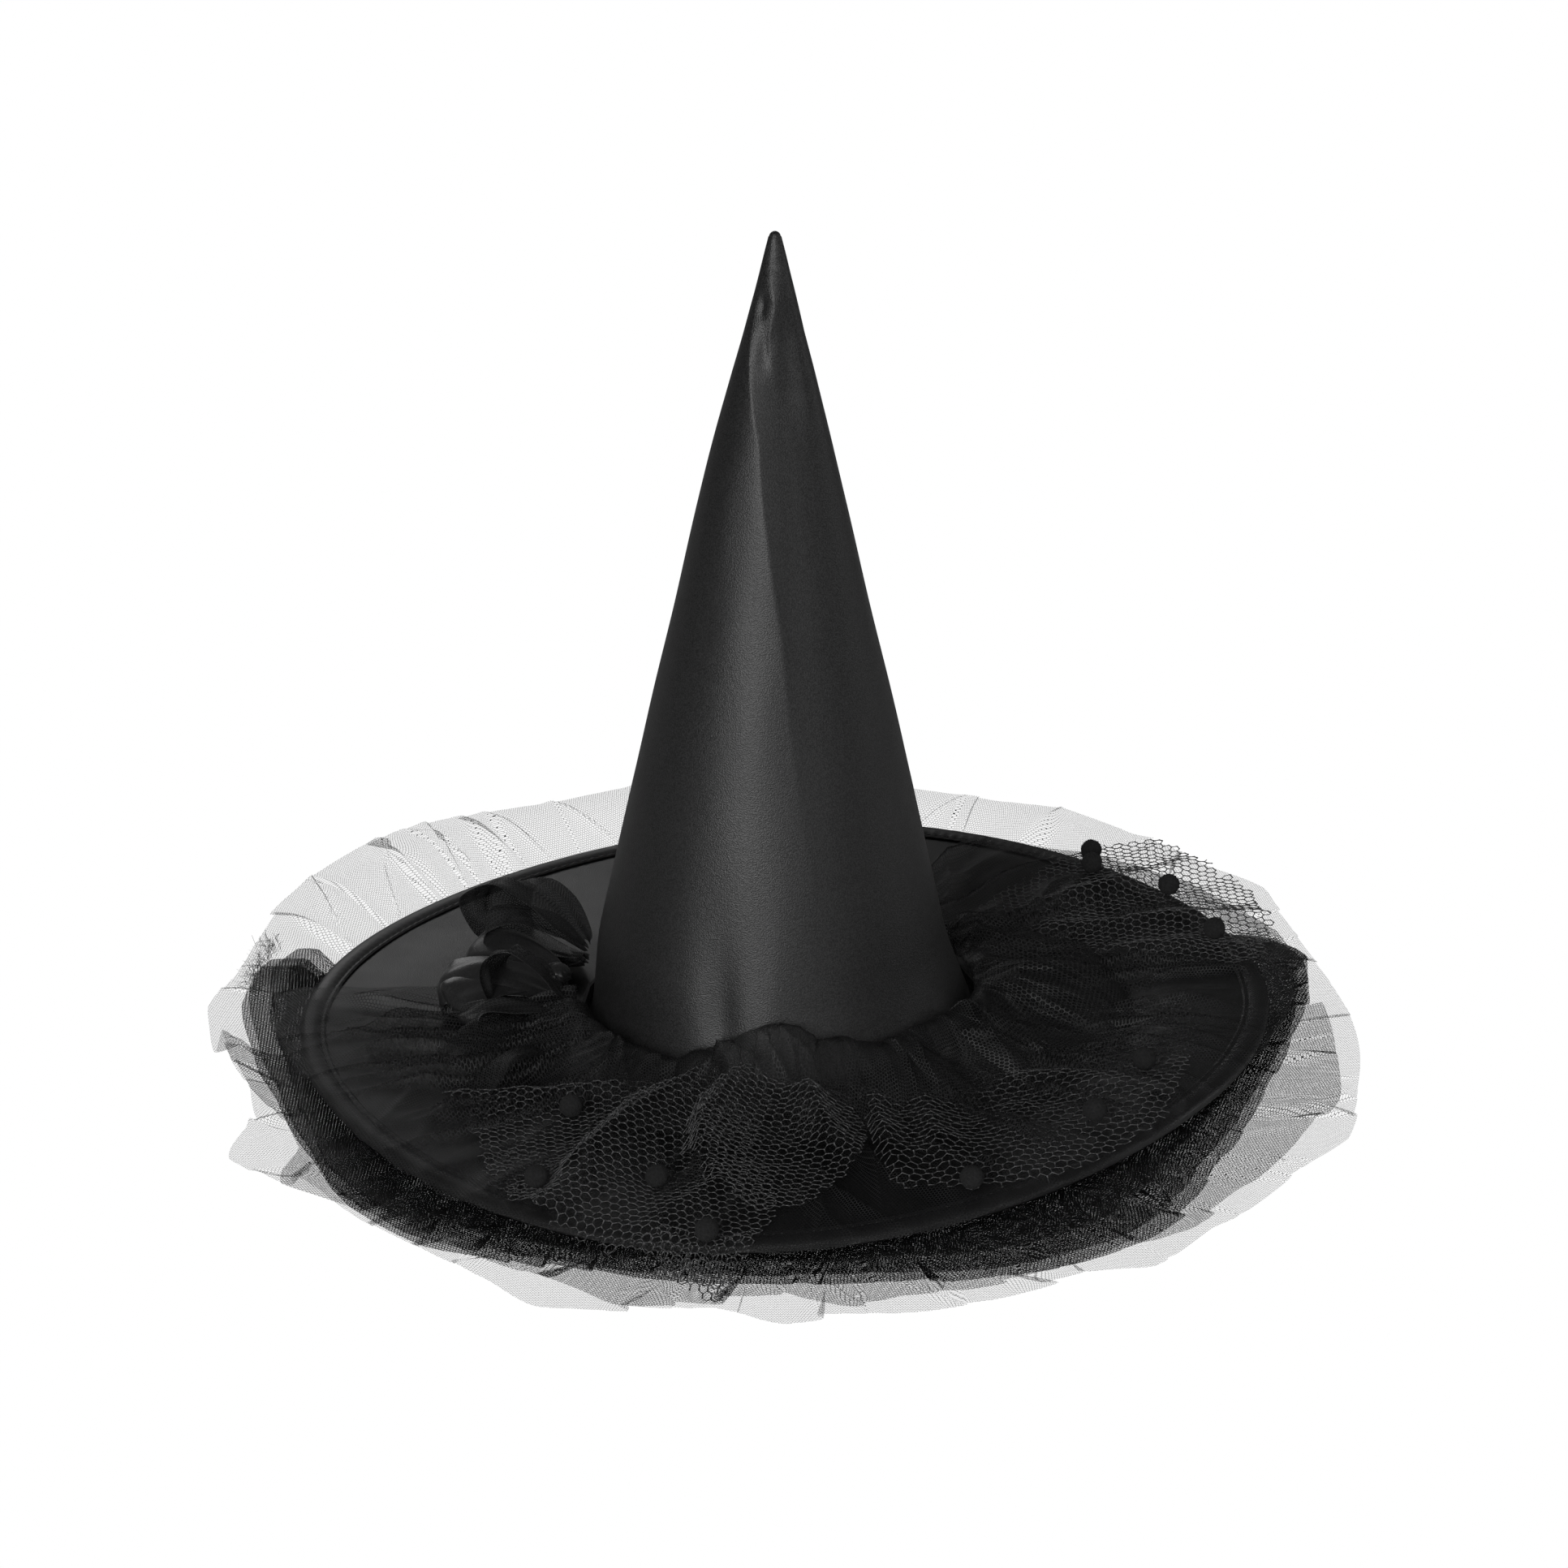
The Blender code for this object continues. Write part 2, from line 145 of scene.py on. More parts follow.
def crown_radius(height):
    """Outer radius of the crown at a height over the brim plane."""
    wall = CROWN_BASE_RADIUS - CROWN_SLOPE * height + CROWN_BULGE * np.sin(pi * height / CROWN_HEIGHT)
    wall = wall + CROWN_BELLY * np.exp(-((height - 0.25) / 0.06) ** 2)
    from_tip = np.clip(CROWN_HEIGHT - height, 0.0, TIP_RADIUS)
    cap = np.sqrt(from_tip * (2 * TIP_RADIUS - from_tip))
    return np.where(CROWN_HEIGHT - height < TIP_RADIUS, np.minimum(wall, cap), wall)


def lean(height):
    """Where the crown's axis stands at a height: it steps left at the foot and comes back at the tip."""
    return CROWN_LEAN * smooth(height / 0.05) + TIP_RETURN * smooth((height - 0.25) / 0.1)


# MESHES

def add_piece(name, verts, faces, material, uvs=None, sharp=None):
    """A mesh object. uvs holds one (u, v) in metres of flat cloth for each vertex."""
    mesh = bpy.data.meshes.new(name)
    mesh.from_pydata([tuple(v) for v in verts], [], faces)
    if uvs is not None:
        layer = mesh.uv_layers.new(name="cloth")
        corner_verts = np.empty(len(mesh.loops), dtype=np.int32)
        mesh.loops.foreach_get("vertex_index", corner_verts)
        layer.data.foreach_set("uv", np.asarray(uvs, np.float32)[corner_verts].ravel())
    mesh.shade_smooth()
    if sharp:
        mesh.set_sharp_from_angle(angle=radians(sharp))
    mesh.materials.append(material)
    piece = bpy.data.objects.new(name, mesh)
    bpy.context.scene.collection.objects.link(piece)
    return piece


def shares(rows, columns):
    """Two grids of rows by columns: the share of the way across the rows, and along the columns."""
    return np.meshgrid(np.linspace(0, 1, rows), np.linspace(0, 1, columns), indexing="ij")


def grid_faces(rows, columns, wrap_rows=False, wrap_columns=False, start=0):
    """Quads of a grid of vertices, row by row."""
    faces = []
    for row in range(rows if wrap_rows else rows - 1):
        after = (row + 1) % rows
        for column in range(columns if wrap_columns else columns - 1):
            beside = (column + 1) % columns
            faces.append((start + row * columns + column, start + row * columns + beside,
                          start + after * columns + beside, start + after * columns + column))
    return faces


def grid_piece(name, x, y, z, material, uv=None, wrap_rows=False, wrap_columns=False, sharp=None):
    rows, columns = x.shape
    verts = np.stack([x.ravel(), y.ravel(), z.ravel()], axis=1)
    uvs = None if uv is None else np.stack([uv[0].ravel(), uv[1].ravel()], axis=1)
    faces = grid_faces(rows, columns, wrap_rows, wrap_columns)
    return add_piece(name, verts, faces, material, uvs, sharp)


def ball(radius, shape):
    """Vertices and faces of a sphere. shape(vertex) gives each vertex's new place."""
    sphere = bmesh.new()
    bmesh.ops.create_icosphere(sphere, subdivisions=4, radius=radius)
    verts = [np.array(shape(vert.co)) for vert in sphere.verts]
    sphere.verts.index_update()
    faces = [tuple(vert.index for vert in face.verts) for face in sphere.faces]
    sphere.free()
    return verts, faces


TULLE_THICK = 0.00009


def give_thickness(piece, thickness=TULLE_THICK):
    """Two faces a thread's thickness apart, so that slanted tulle looks denser, as real tulle does."""
    thicken = piece.modifiers.new("thickness", "SOLIDIFY")
    thicken.thickness = thickness
    thicken.offset = 0.0


def settle(piece, slot, *nodes):
    """Puts a finished piece on the hat: on its body, with the CAD nodes it stands for hidden. The slot is
    not used.
    """
    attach(piece, "root")
    if nodes:
        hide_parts(*nodes)
    return piece


def turned(name, section, columns, material, place, sharp=35):
    """A closed (radius, height) section carried round Z. place(radius, angle, height) gives x, y, z."""
    section = np.array(section)
    angle = np.linspace(0, 2 * pi, columns, endpoint=False)
    radius, turn = np.meshgrid(section[:, 0], angle, indexing="ij")
    height = np.repeat(section[:, 1][:, None], columns, axis=1)
    x, y, z = place(radius, turn, height)
    return grid_piece(name, x, y, z, material, (turn * radius, radius), True, True, sharp)


def on_brim(radius, turn, height):
    x, y = radius * np.cos(turn), radius * np.sin(turn)
    return x, y, brim_middle(x, y) + height


def on_crown(radius, turn, height):
    return radius * np.cos(turn) + lean(height), radius * np.sin(turn), BRIM_PLANE + height


# MATERIALS

class Nodes:
    """Short ways of adding shader nodes to one material."""

    def __init__(self, name):
        self.material = bpy.data.materials.new(name)
        self.material.use_nodes = True
        self.tree = self.material.node_tree
        self.shader = self.tree.nodes["Principled BSDF"]

    def add(self, kind, **settings):
        node = self.tree.nodes.new(kind)
        for key, value in settings.items():
            setattr(node, key, value)
        return node

    def link(self, output, target):
        self.tree.links.new(output, target)

    def coordinates(self, output, scale=(1, 1, 1)):
        mapping = self.add("ShaderNodeMapping")
        mapping.inputs["Scale"].default_value = scale
        self.link(self.add("ShaderNodeTexCoord").outputs[output], mapping.inputs["Vector"])
        return mapping.outputs["Vector"]

    def noise(self, vector, scale, detail=2.0, roughness=0.5):
        node = self.add("ShaderNodeTexNoise")
        node.inputs["Scale"].default_value = scale
        node.inputs["Detail"].default_value = detail
        node.inputs["Roughness"].default_value = roughness
        self.link(vector, node.inputs["Vector"])
        return node.outputs["Fac"]

    def ramp(self, value, low, high, target, place=(0.3, 0.7)):
        """Maps a value to a range, or to a range of colours when low and high are colours."""
        if isinstance(low, tuple):
            node = self.add("ShaderNodeValToRGB")
            first, last = node.color_ramp.elements
            first.position, last.position = place
            first.color, last.color = (*low, 1), (*high, 1)
            self.link(value, node.inputs["Fac"])
            self.link(node.outputs["Color"], target)
            return node.outputs["Color"]
        node = self.add("ShaderNodeMapRange")
        for key, number in zip(("From Min", "From Max", "To Min", "To Max"), (*place, low, high)):
            node.inputs[key].default_value = number
        self.link(value, node.inputs["Value"])
        self.link(node.outputs["Result"], target)
        return node.outputs["Result"]

    def bump(self, height, strength, distance):
        node = self.add("ShaderNodeBump")
        node.inputs["Strength"].default_value = strength
        node.inputs["Distance"].default_value = distance
        self.link(height, node.inputs["Height"])
        self.link(node.outputs["Normal"], self.shader.inputs["Normal"])

    def math(self, operation, first, second=None):
        node = self.add("ShaderNodeMath", operation=operation)
        for socket, value in zip(node.inputs, (first, second)):
            if isinstance(value, (int, float)):
                socket.default_value = value
            elif value is not None:
                self.link(value, socket)
        return node.outputs["Value"]

    def vector(self, operation, *values):
        node = self.add("ShaderNodeVectorMath", operation=operation)
        for socket, value in zip(node.inputs, values):
            if isinstance(value, tuple):
                socket.default_value = value
            else:
                self.link(value, socket)
        return node.outputs["Value"] if operation in ("DOT_PRODUCT", "LENGTH") else node.outputs["Vector"]


def grey(level):
    """A neutral black dye with a trace of blue."""
    return level, level, level * 1.02


def satin_material(name, dark, light, roughness, grain, specular, sheen=0.0):
    """Polyester satin: a broad soft sheen, a fine sparkling grain and faint cloudiness."""
    n = Nodes(name)
    place = n.coordinates("Object")
    fine = n.noise(place, 2000, 0.0, 0.6)
    cloud = n.noise(place, 22, 3.0)
    n.ramp(fine, grey(dark), grey(light), n.shader.inputs["Base Color"], (0.36, 0.66))
    n.ramp(cloud, roughness[0], roughness[1], n.shader.inputs["Roughness"])
    n.bump(fine, grain, 0.0003)
    n.shader.inputs["Specular IOR Level"].default_value = specular
    n.shader.inputs["Sheen Weight"].default_value = sheen
    n.shader.inputs["Sheen Roughness"].default_value = 0.35
    return n.material


def fibre_material(name, colours, scale, roughness, bump, detail=4.0, rugged=0.7, specular=0.5):
    """Felt, tape, fluff, yarn or drawn steel: one fine noise sets its colour, gloss and bump."""
    n = Nodes(name)
    fibres = n.noise(n.coordinates("Object"), scale, detail, rugged)
    n.ramp(fibres, *colours, n.shader.inputs["Base Color"])
    n.ramp(fibres, *roughness, n.shader.inputs["Roughness"])
    n.bump(fibres, *bump)
    n.shader.inputs["Specular IOR Level"].default_value = specular
    return n.material


def matt_material(name, dark, light, scale, roughness=0.9, bump=0.5):
    return fibre_material(name, (grey(dark), grey(light)), scale, (roughness, roughness), (bump, 0.0004))


def strand_material(name, dark, light):
    """Twisted nylon yarn: gloss that varies along the strand, and lighter spots painted into its colour as
    glints.
    """
    return fibre_material(name, (grey(dark), grey(light)), 1400, (0.25, 0.55), (0.5, 0.0002), 1.0, 0.5, 0.7)


def steel_material(name):
    colours = (0.42, 0.42, 0.44), (0.58, 0.58, 0.60)
    steel = fibre_material(name, colours, 1800, (0.25, 0.45), (0.0, 0.0002), 2.0, 0.5)
    steel.node_tree.nodes["Principled BSDF"].inputs["Metallic"].default_value = 1.0
    return steel


def ribbed_material(name, dark, light, ribs_per_metre):
    """Grosgrain ribbon: fine cross ribs that follow the cloth's length, U."""
    n = Nodes(name)
    place = n.coordinates("UV")
    wave = n.add("ShaderNodeTexWave", wave_type="BANDS", bands_direction="X")
    wave.inputs["Scale"].default_value = ribs_per_metre / 10 * pi
    wave.inputs["Distortion"].default_value = 0.4
    n.link(place, wave.inputs["Vector"])
    n.ramp(wave.outputs["Fac"], grey(dark), grey(light), n.shader.inputs["Base Color"], (0.1, 0.9))
    n.bump(wave.outputs["Fac"], 0.6, 0.0003)
    n.shader.inputs["Roughness"].default_value = 0.6
    return n.material


def tulle_material(name, thread, pitch, level, fill):
    """Hexagonal mesh in the cloth's own flat metres: thread wide strands, pitch apart, holes between.

    fill is the share of each hole that loose fibres close.
    """
    n = Nodes(name)
    place = n.coordinates("UV", (1 / pitch, 1 / pitch, 1))
    tile = (1.0, sqrt(3.0), 1.0)
    half = tuple(side / 2 for side in tile)
    minus_half = tuple(-side / 2 for side in tile)
    first = n.vector("WRAP", place, half, minus_half)
    second = n.vector("WRAP", n.vector("ADD", place, half), half, minus_half)
    flat_first = n.vector("MULTIPLY", first, (1, 1, 0))
    flat_second = n.vector("MULTIPLY", second, (1, 1, 0))
    nearer = n.math("LESS_THAN", n.vector("LENGTH", flat_first), n.vector("LENGTH", flat_second))
    pick = n.add("ShaderNodeMix", data_type="VECTOR")
    n.link(nearer, pick.inputs["Factor"])
    n.link(flat_second, pick.inputs[4])
    n.link(flat_first, pick.inputs[5])
    offset = n.vector("ABSOLUTE", pick.outputs[1])
    reach = n.math("MAXIMUM", n.vector("DOT_PRODUCT", offset, (1, 0, 0)),
                   n.vector("DOT_PRODUCT", offset, (0.5, sqrt(3) / 2, 0)))
    strand = n.math("GREATER_THAN", reach, 0.5 - thread / pitch / 2)
    n.link(n.math("MAXIMUM", strand, fill), n.shader.inputs["Alpha"])
    shade = n.noise(n.coordinates("UV"), 60, 2.0)
    n.ramp(shade, grey(level), grey(level * 1.5), n.shader.inputs["Base Color"])
    n.shader.inputs["Roughness"].default_value = 0.5
    n.shader.inputs["Specular IOR Level"].default_value = 0.3
    return n.material


PITCH = 0.0015
MATERIALS = {
    "crown": satin_material("crown_satin", 0.0006, 0.0215, (0.43, 0.49), 0.50, 0.64),
    # The brim satin is the crown's black satin painted darker, as painted shade.
    "brim": satin_material("brim_satin", 0.0012, 0.0040, (0.36, 0.46), 0.25, 0.50),
    # The binding satin is the same black satin painted lighter, as a painted highlight along the rolled
    # edge.
    "binding": satin_material("binding_satin", 0.0060, 0.0150, (0.34, 0.46), 0.3, 0.7),
    # The ribbon satin is black satin painted lighter, as a painted highlight on the rosette's loops.
    "ribbon": satin_material("ribbon_satin", 0.0120, 0.0240, (0.28, 0.38), 0.2, 0.8, 0.10),
    "felt": matt_material("nonwoven_felt", 0.016, 0.034, 500),
    "tape": matt_material("cotton_tape", 0.014, 0.030, 1600, 0.85),
    "band": ribbed_material("sweatband_ribs", 0.012, 0.034, 900),
    "thread": strand_material("sewing_thread", 0.012, 0.035),
    "skirt_light": tulle_material("light_tulle", 0.00009, 0.0012, 0.008, 0.03),
    "skirt_front": tulle_material("front_tulle", 0.00017, 0.0013, 0.008, 0.07),
    "skirt_dark": tulle_material("dark_tulle", 0.00034, PITCH, 0.007, 0.22),
    "overlay": tulle_material("overlay_tulle", 0.00028, PITCH, 0.017, 0.05),
    "rosette": tulle_material("rosette_tulle", 0.00040, PITCH, 0.020, 0.50),
    # The veil strand's light colour is painted glints on black nylon.
    "strand": strand_material("veil_strand", 0.010, 0.110),
    "fluff": matt_material("pompom_fluff", 0.005, 0.017, 900, 1.0, 0.8),
    "steel": steel_material("drawn_steel"),
}


# CROWN

FRONT = -pi / 2
# Folds pressed into the satin: (height, angle from the front, height of the fold) down each one's line,
# then its width on its left and on its right side.
CROWN_FOLDS = [
    ([(0.150, 0.18, 0.0), (0.196, 0.10, 0.0004), (0.2355, -0.05, 0.0004), (0.255, -0.14, 0.0003),
      (0.275, -0.24, 0.0003), (0.2945, -0.51, 0.0004), (0.3165, -0.85, 0.0007), (0.333, -1.0, 0.0)],
     0.0080, 0.0050),
    ([(0.300, 0.05, 0.0), (0.308, -0.10, 0.0005), (0.3165, -0.20, 0.0011),
      (0.330, 0.00, 0.0009), (0.342, -0.2, 0.0007), (0.352, -0.5, 0.0)], 0.0030, 0.0024),
    ([(0.006, -0.02, 0.0), (0.030, -0.02, 0.0013), (0.060, 0.02, 0.0008), (0.110, 0.10, 0.0)],
     0.010, 0.020),
    ([(0.080, -0.95, 0.0), (0.120, -0.86, 0.0004), (0.200, -0.70, 0.0)], 0.012, 0.012),
    ([(0.060, 1.00, 0.0), (0.150, 0.86, 0.0005), (0.260, 0.90, 0.0)], 0.016, 0.012),
    ([(0.050, 2.40, 0.0), (0.130, 2.30, 0.0007), (0.240, 2.20, 0.0)], 0.014, 0.014),
    ([(0.090, -2.2, 0.0), (0.170, -2.35, 0.0007), (0.290, -2.5, 0.0)], 0.014, 0.010)]
# The flat facet to the right of the long ridge: (height, angle of the ridge, depth of the facet).
CROWN_FACET = [(0.080, 0.30, 0.0), (0.110, 0.24, 0.0005), (0.157, 0.16, 0.0012),
               (0.196, 0.10, 0.0020), (0.2355, -0.05, 0.0033), (0.275, -0.24, 0.0043),
               (0.2945, -0.51, 0.0056), (0.3165, -0.85, 0.0030), (0.333, -1.0, 0.0)]
# The facet is deepest at this angle, and the crown is round again this far to the right of it.
FACET_MIDDLE, FACET_RETURN = 0.42, 0.95
# Dents: (height, angle from the front, depth, half height, half width).
CROWN_DENTS = [(0.3300, -0.62, 0.0016, 0.0050, 0.0026), (0.3460, -0.2, 0.0007, 0.0030, 0.0040),
               (0.3125, -0.35, 0.0010, 0.0090, 0.0032), (0.0400, -0.30, 0.0022, 0.0260, 0.0080),
               (0.0800, -0.42, 0.0008, 0.0260, 0.0120), (0.2000, 2.75, 0.0009, 0.0500, 0.0130)]


def crown_creases(height, turn):
    """How far the satin stands off the plain cone: pressed folds, dents and faint waves."""
    front = (turn - FRONT + pi) % (2 * pi) - pi
    up = height / CROWN_HEIGHT
    radius = np.maximum(crown_radius(height), 0.002)
    raised = 0.0
    for line, left, right in CROWN_FOLDS:
        heights, angles, sizes = zip(*line)
        across = (front - np.interp(height, heights, angles) + pi) % (2 * pi) - pi
        across = across * radius
        width = np.where(across < 0, left, right)
        size = np.interp(height, heights, sizes, 0.0, 0.0)
        raised = raised + size * (np.exp(0.25 - np.sqrt((across / width) ** 2 + 0.0625)) - 0.25)
    heights, angles, depths = zip(*CROWN_FACET)
    across = front - FACET_MIDDLE
    to_ridge = np.clip(-across / (FACET_MIDDLE - np.interp(height, heights, angles)), 0, 1)
    to_round = np.clip(across / FACET_RETURN, 0, 1)
    fall = np.where(across < 0, 1 - to_ridge ** 2, (1 - to_round ** 2) ** 2)
    raised = raised - np.interp(height, heights, depths, 0.0, 0.0) * fall
    for at, angle, depth, tall, wide in CROWN_DENTS:
        raised = raised - depth * bell((height - at) / tall) * bell((front - angle) * radius / wide)
    waves = 0.00040 * noise(turn / (2 * pi) * 9, up * 5 + 3, 0, 9) \
        + 0.00022 * noise(turn / (2 * pi) * 22, up * 9, 1, 22)
    return (raised + waves * np.minimum(1.0, radius / 0.03)) * np.minimum(1.0, radius / 0.006)


def crown_shell(name, heights, columns, outer, inner, material, flange=()):
    """A closed shell on the crown's creased shape, from outer to inner metres inside its outer surface."""
    turn = np.linspace(0, 2 * pi, columns, endpoint=False)
    rows = [(np.full(columns, radius), np.full(columns, height)) for radius, height in flange]
    for height in heights:
        rows.append((crown_radius(height) + crown_creases(height, turn) - outer, np.full(columns, height)))
    outside = len(rows)
    for height in heights[::-1]:
        wall = crown_radius(height) + crown_creases(height, turn) - inner
        below_tip = 0.6 * (inner - outer) * (height > CROWN_HEIGHT - 0.03)
        rows.append((wall, np.full(columns, height - below_tip)))
    radius = np.maximum(np.array([row[0] for row in rows]), 0.00015)
    height = np.array([row[1] for row in rows])
    turns = np.broadcast_to(turn, radius.shape)
    x, y, z = on_crown(radius, turns, height)
    verts = np.stack([x.ravel(), y.ravel(), z.ravel()], axis=1)
    uvs = np.stack([(turns * CROWN_BASE_RADIUS).ravel(), height.ravel()], axis=1)
    count = len(rows)
    faces = grid_faces(outside, columns, wrap_columns=True)
    faces += grid_faces(count - outside, columns, wrap_columns=True, start=outside * columns)
    last = (count - 1) * columns
    faces += [(last + c, last + (c + 1) % columns, (c + 1) % columns, c) for c in range(columns)]
    faces.append(tuple(range((outside - 1) * columns, outside * columns)))
    faces.append(tuple(reversed(range(outside * columns, (outside + 1) * columns))))
    return add_piece(name, verts, faces, material, uvs, 60)


def add_crown():
    cap = CROWN_HEIGHT - TIP_RADIUS * np.linspace(1, 0, 14) ** 1.6 - 0.00001
    top_starts = CROWN_HEIGHT - 0.036
    wall = np.linspace(0.0045, top_starts, 190, endpoint=False)
    top = np.linspace(top_starts, CROWN_HEIGHT - TIP_RADIUS, 56, endpoint=False)
    heights = np.concatenate([wall, top, cap])
    flange = [(0.0920, 0.0019), (0.0920, 0.0024), (0.0895, 0.0026), (0.0870, 0.0029), (0.0855, 0.0036)]
    crown = crown_shell("crown_satin", heights, 320, 0.0, 0.00055, MATERIALS["crown"], flange)
    settle(crown, "crown_satin", "crown_satin_cover")


def add_crown_inside():
    """The stiffener that the satin is stretched on, and the seam down the back."""
    heights = np.linspace(0.0023, CROWN_HEIGHT - 0.008, 110)
    stiffener = crown_shell("crown_stiffener", heights, 160, 0.0008, 0.0022, MATERIALS["felt"])
    settle(stiffener, "stiffener", "crown_interlining")
    heights = np.linspace(0.006, CROWN_HEIGHT - 0.012, 150)
    across = np.array([-0.0026, -0.0013, -0.0006, 0.0, 0.0006, 0.0013, 0.0026])
    proud = np.array([-0.0001, 0.00030, 0.00034, -0.00025, 0.00034, 0.00030, -0.0001])
    h, a = np.meshgrid(heights, across, indexing="ij")
    turn = pi / 2 + a / np.maximum(crown_radius(h), 0.01)
    pucker = 0.00012 * noise(h * 260, a * 400, 7)
    radius = crown_radius(h) + crown_creases(h, turn) + proud[None, :] + pucker * (proud > 0)
    x, y, z = on_crown(radius, turn, h)
    seam = grid_piece("crown_back_seam", x, y, z, MATERIALS["crown"], (a, h))
    settle(seam, "crown_satin")


def give_material(slot, *nodes):
    for node in nodes:
        piece = NODES[node]
        piece.data.materials.clear()
        piece.data.materials.append(MATERIALS[slot])


# BRIM

STITCH_RADIUS = 0.2012


def brim_tension(radius, turn):
    """Faint radial pulls in the satin where it is gathered into the crown's foot."""
    fade = smooth((0.150 - radius) / 0.06)
    pulls = 0.00022 * fade * noise(turn / (2 * pi) * 60, radius * 20, 2, 60)
    return pulls + 0.00018 * noise(turn / (2 * pi) * 24, radius * 30, 3, 24)


def add_brim():
    radii = np.concatenate([np.linspace(BRIM_INNER_RADIUS, 0.1975, 60), [0.2, 0.203, 0.2055]])
    angle = np.linspace(0, 2 * pi, 480, endpoint=False)
    r, turn = np.meshgrid(radii, angle, indexing="ij")
    plies = [("brim_top_satin", "brim_top_cover", 1), ("brim_under_satin", "brim_under_cover", -1)]
    for name, node, side in plies:
        level = 0.0012 + np.abs(brim_tension(r, turn + (side < 0)))
        x, y, z = on_brim(r, turn, side * level)
        piece = grid_piece(name, x, y, z, MATERIALS["brim"], (x, y), wrap_columns=True)
        give_thickness(piece, 0.0004)
        settle(piece, "brim_satin", node)


def add_binding():
    """Satin folded round the rim: a rolled edge, a flat hem inside it, and a sunk row of stitches."""
    upper = np.array([(198.8, 1.9), (198.8, 2.3), (199.7, 2.65), (200.6, 2.3), (201.2, 2.1), (201.9, 2.4),
                      (203.5, 2.8), (205.5, 3.0), (207.5, 2.8), (209.0, 2.2), (209.9, 1.2)]) / 1000
    inner = np.array([(204.5, 2.1), (207.8, 1.5), (209.2, 0.6)]) / 1000
    under = (1, -1)
    section = [*upper, (BRIM_RADIUS, 0.0), *(upper * under)[::-1], *(inner * under), *inner[::-1]]

    def rumple(radius, turn, height):
        pucker = 0.00016 * np.sin(turn * 260) * bell((radius - STITCH_RADIUS) / 0.003) * np.sign(height)
        soft = 0.0002 * noise(turn / (2 * pi) * 40, radius * 100, 4, 40)
        return on_brim(radius + soft, turn, height + pucker)

    binding = turned("brim_binding", section, 1040, MATERIALS["binding"], rumple)
    settle(binding, "binding_satin", "brim_edge_binding")


def add_stitches(name, level):
    """A row of thread stitches round the brim: short rounded bars that dip into the cloth at both ends."""
    length, gap, thickness = 0.0024, 0.0008, 0.00022
    count = int(2 * pi * STITCH_RADIUS / (length + gap))
    sides, stations = 5, 5
    along_stitch = np.linspace(-0.5, 0.5, stations)
    turns = np.linspace(0, 2 * pi, sides, endpoint=False)
    verts, faces = [], []
    for index in range(count):
        centre = 2 * pi * index / count
        start = len(verts)
        for share in along_stitch:
            angle = centre + share * length / STITCH_RADIUS
            swell = sqrt(max(1 - (2 * share) ** 2, 0.06))
            dip = -0.0004 * (2 * share) ** 4
            for turn in turns:
                r = STITCH_RADIUS + thickness * swell * cos(turn)
                x, y, z = on_brim(r, angle, level + dip + thickness * swell * sin(turn))
                verts.append((x, y, z))
        faces += grid_faces(stations, sides, wrap_columns=True, start=start)
        faces.append(tuple(range(start, start + sides)))
        faces.append(tuple(reversed(range(start + (stations - 1) * sides, start + stations * sides))))
    stitches = add_piece(name, verts, faces, MATERIALS["thread"])
    settle(stitches, "binding_satin")


# TULLE SHEETS THAT RUN ROUND THE HAT

def make_folds(seed, count, start, end, width, overlap, rise, slant, births=(0.3, 0.6), finish=1.0):
    """Random pleats, all angles in degrees: (angle, half width, how far it folds over, height, slant, where
    across the cloth it starts, where it is full)."""
    rng = np.random.default_rng(seed)
    folds = []
    for index in range(count):
        centre = start + (end - start) * (index + rng.uniform(0.1, 0.9)) / count
        folds.append((centre, rng.uniform(*width), rng.uniform(*overlap), rng.uniform(*rise),
                      rng.uniform(-slant, slant), rng.uniform(*births), finish))
    return folds


def apply_folds(angle, across, folds):
    """Each pleat pushes the cloth forward before its centre and back after it, so that it lies double."""
    shift = np.zeros_like(angle)
    lift = np.zeros_like(angle)
    for centre, width, overlap, rise, slant, birth, finish in folds:
        grow = smooth((across - birth) / (finish - birth))
        spread = width * (0.25 + 0.75 * grow)
        t = (angle - centre - slant * (across - 0.7)) / spread
        shift -= overlap * spread * t * bell(t) * grow
        lift += rise * (0.5 + 0.5 * np.tanh(1.6 * t)) * bell(np.maximum(t, 0.0) / 2.2) * grow
    return shift, lift


def creased(angle, radius, seed, across, outward, sharp=0.35):
    """Crisp fold lines that run outward at a slant: 0 in the hollows and 1 on the lines."""
    drift = 0.5 * noise(angle / 40, radius * 30, seed + 1)
    place = noise(angle / across + radius * outward + drift, radius * 7, seed)
    return np.exp(-np.abs(place) / sharp)


def ring_sheet(name, material, angles, inner, hem, rows, level, folds):
    """A tulle ply round the hat. angles are in degrees; level(x, y, angle) is the height under the folds."""
    v, flat_angle = np.meshgrid(np.linspace(0, 1, rows), angles, indexing="ij")
    shift, lift = apply_folds(flat_angle, v, folds)
    angle = flat_angle + shift
    reach = inner + (hem(flat_angle) - inner) * v
    x = reach * np.cos(np.radians(angle))
    y = reach * np.sin(np.radians(angle))
    z = level(x, y, angle) + lift
    hem_run = np.hypot(np.diff(x[-1]), np.diff(y[-1]))
    cloth_turn = np.concatenate([[0.0], np.cumsum(hem_run)]) / hem(angles).mean()
    cloth = (reach * np.cos(cloth_turn), reach * np.sin(cloth_turn))
    piece = grid_piece(name, x, y, z, material, cloth)
    give_thickness(piece)
    return piece


def hem_of(points):
    return lambda angle: outline(points, angle)


def rise_at(points, angle):
    """A value round the hat, straight between (degrees, value) points."""
    degrees, values = zip(*sorted(points))
    return np.interp(np.asarray(angle) % 360, np.array(degrees), np.array(values), period=360)


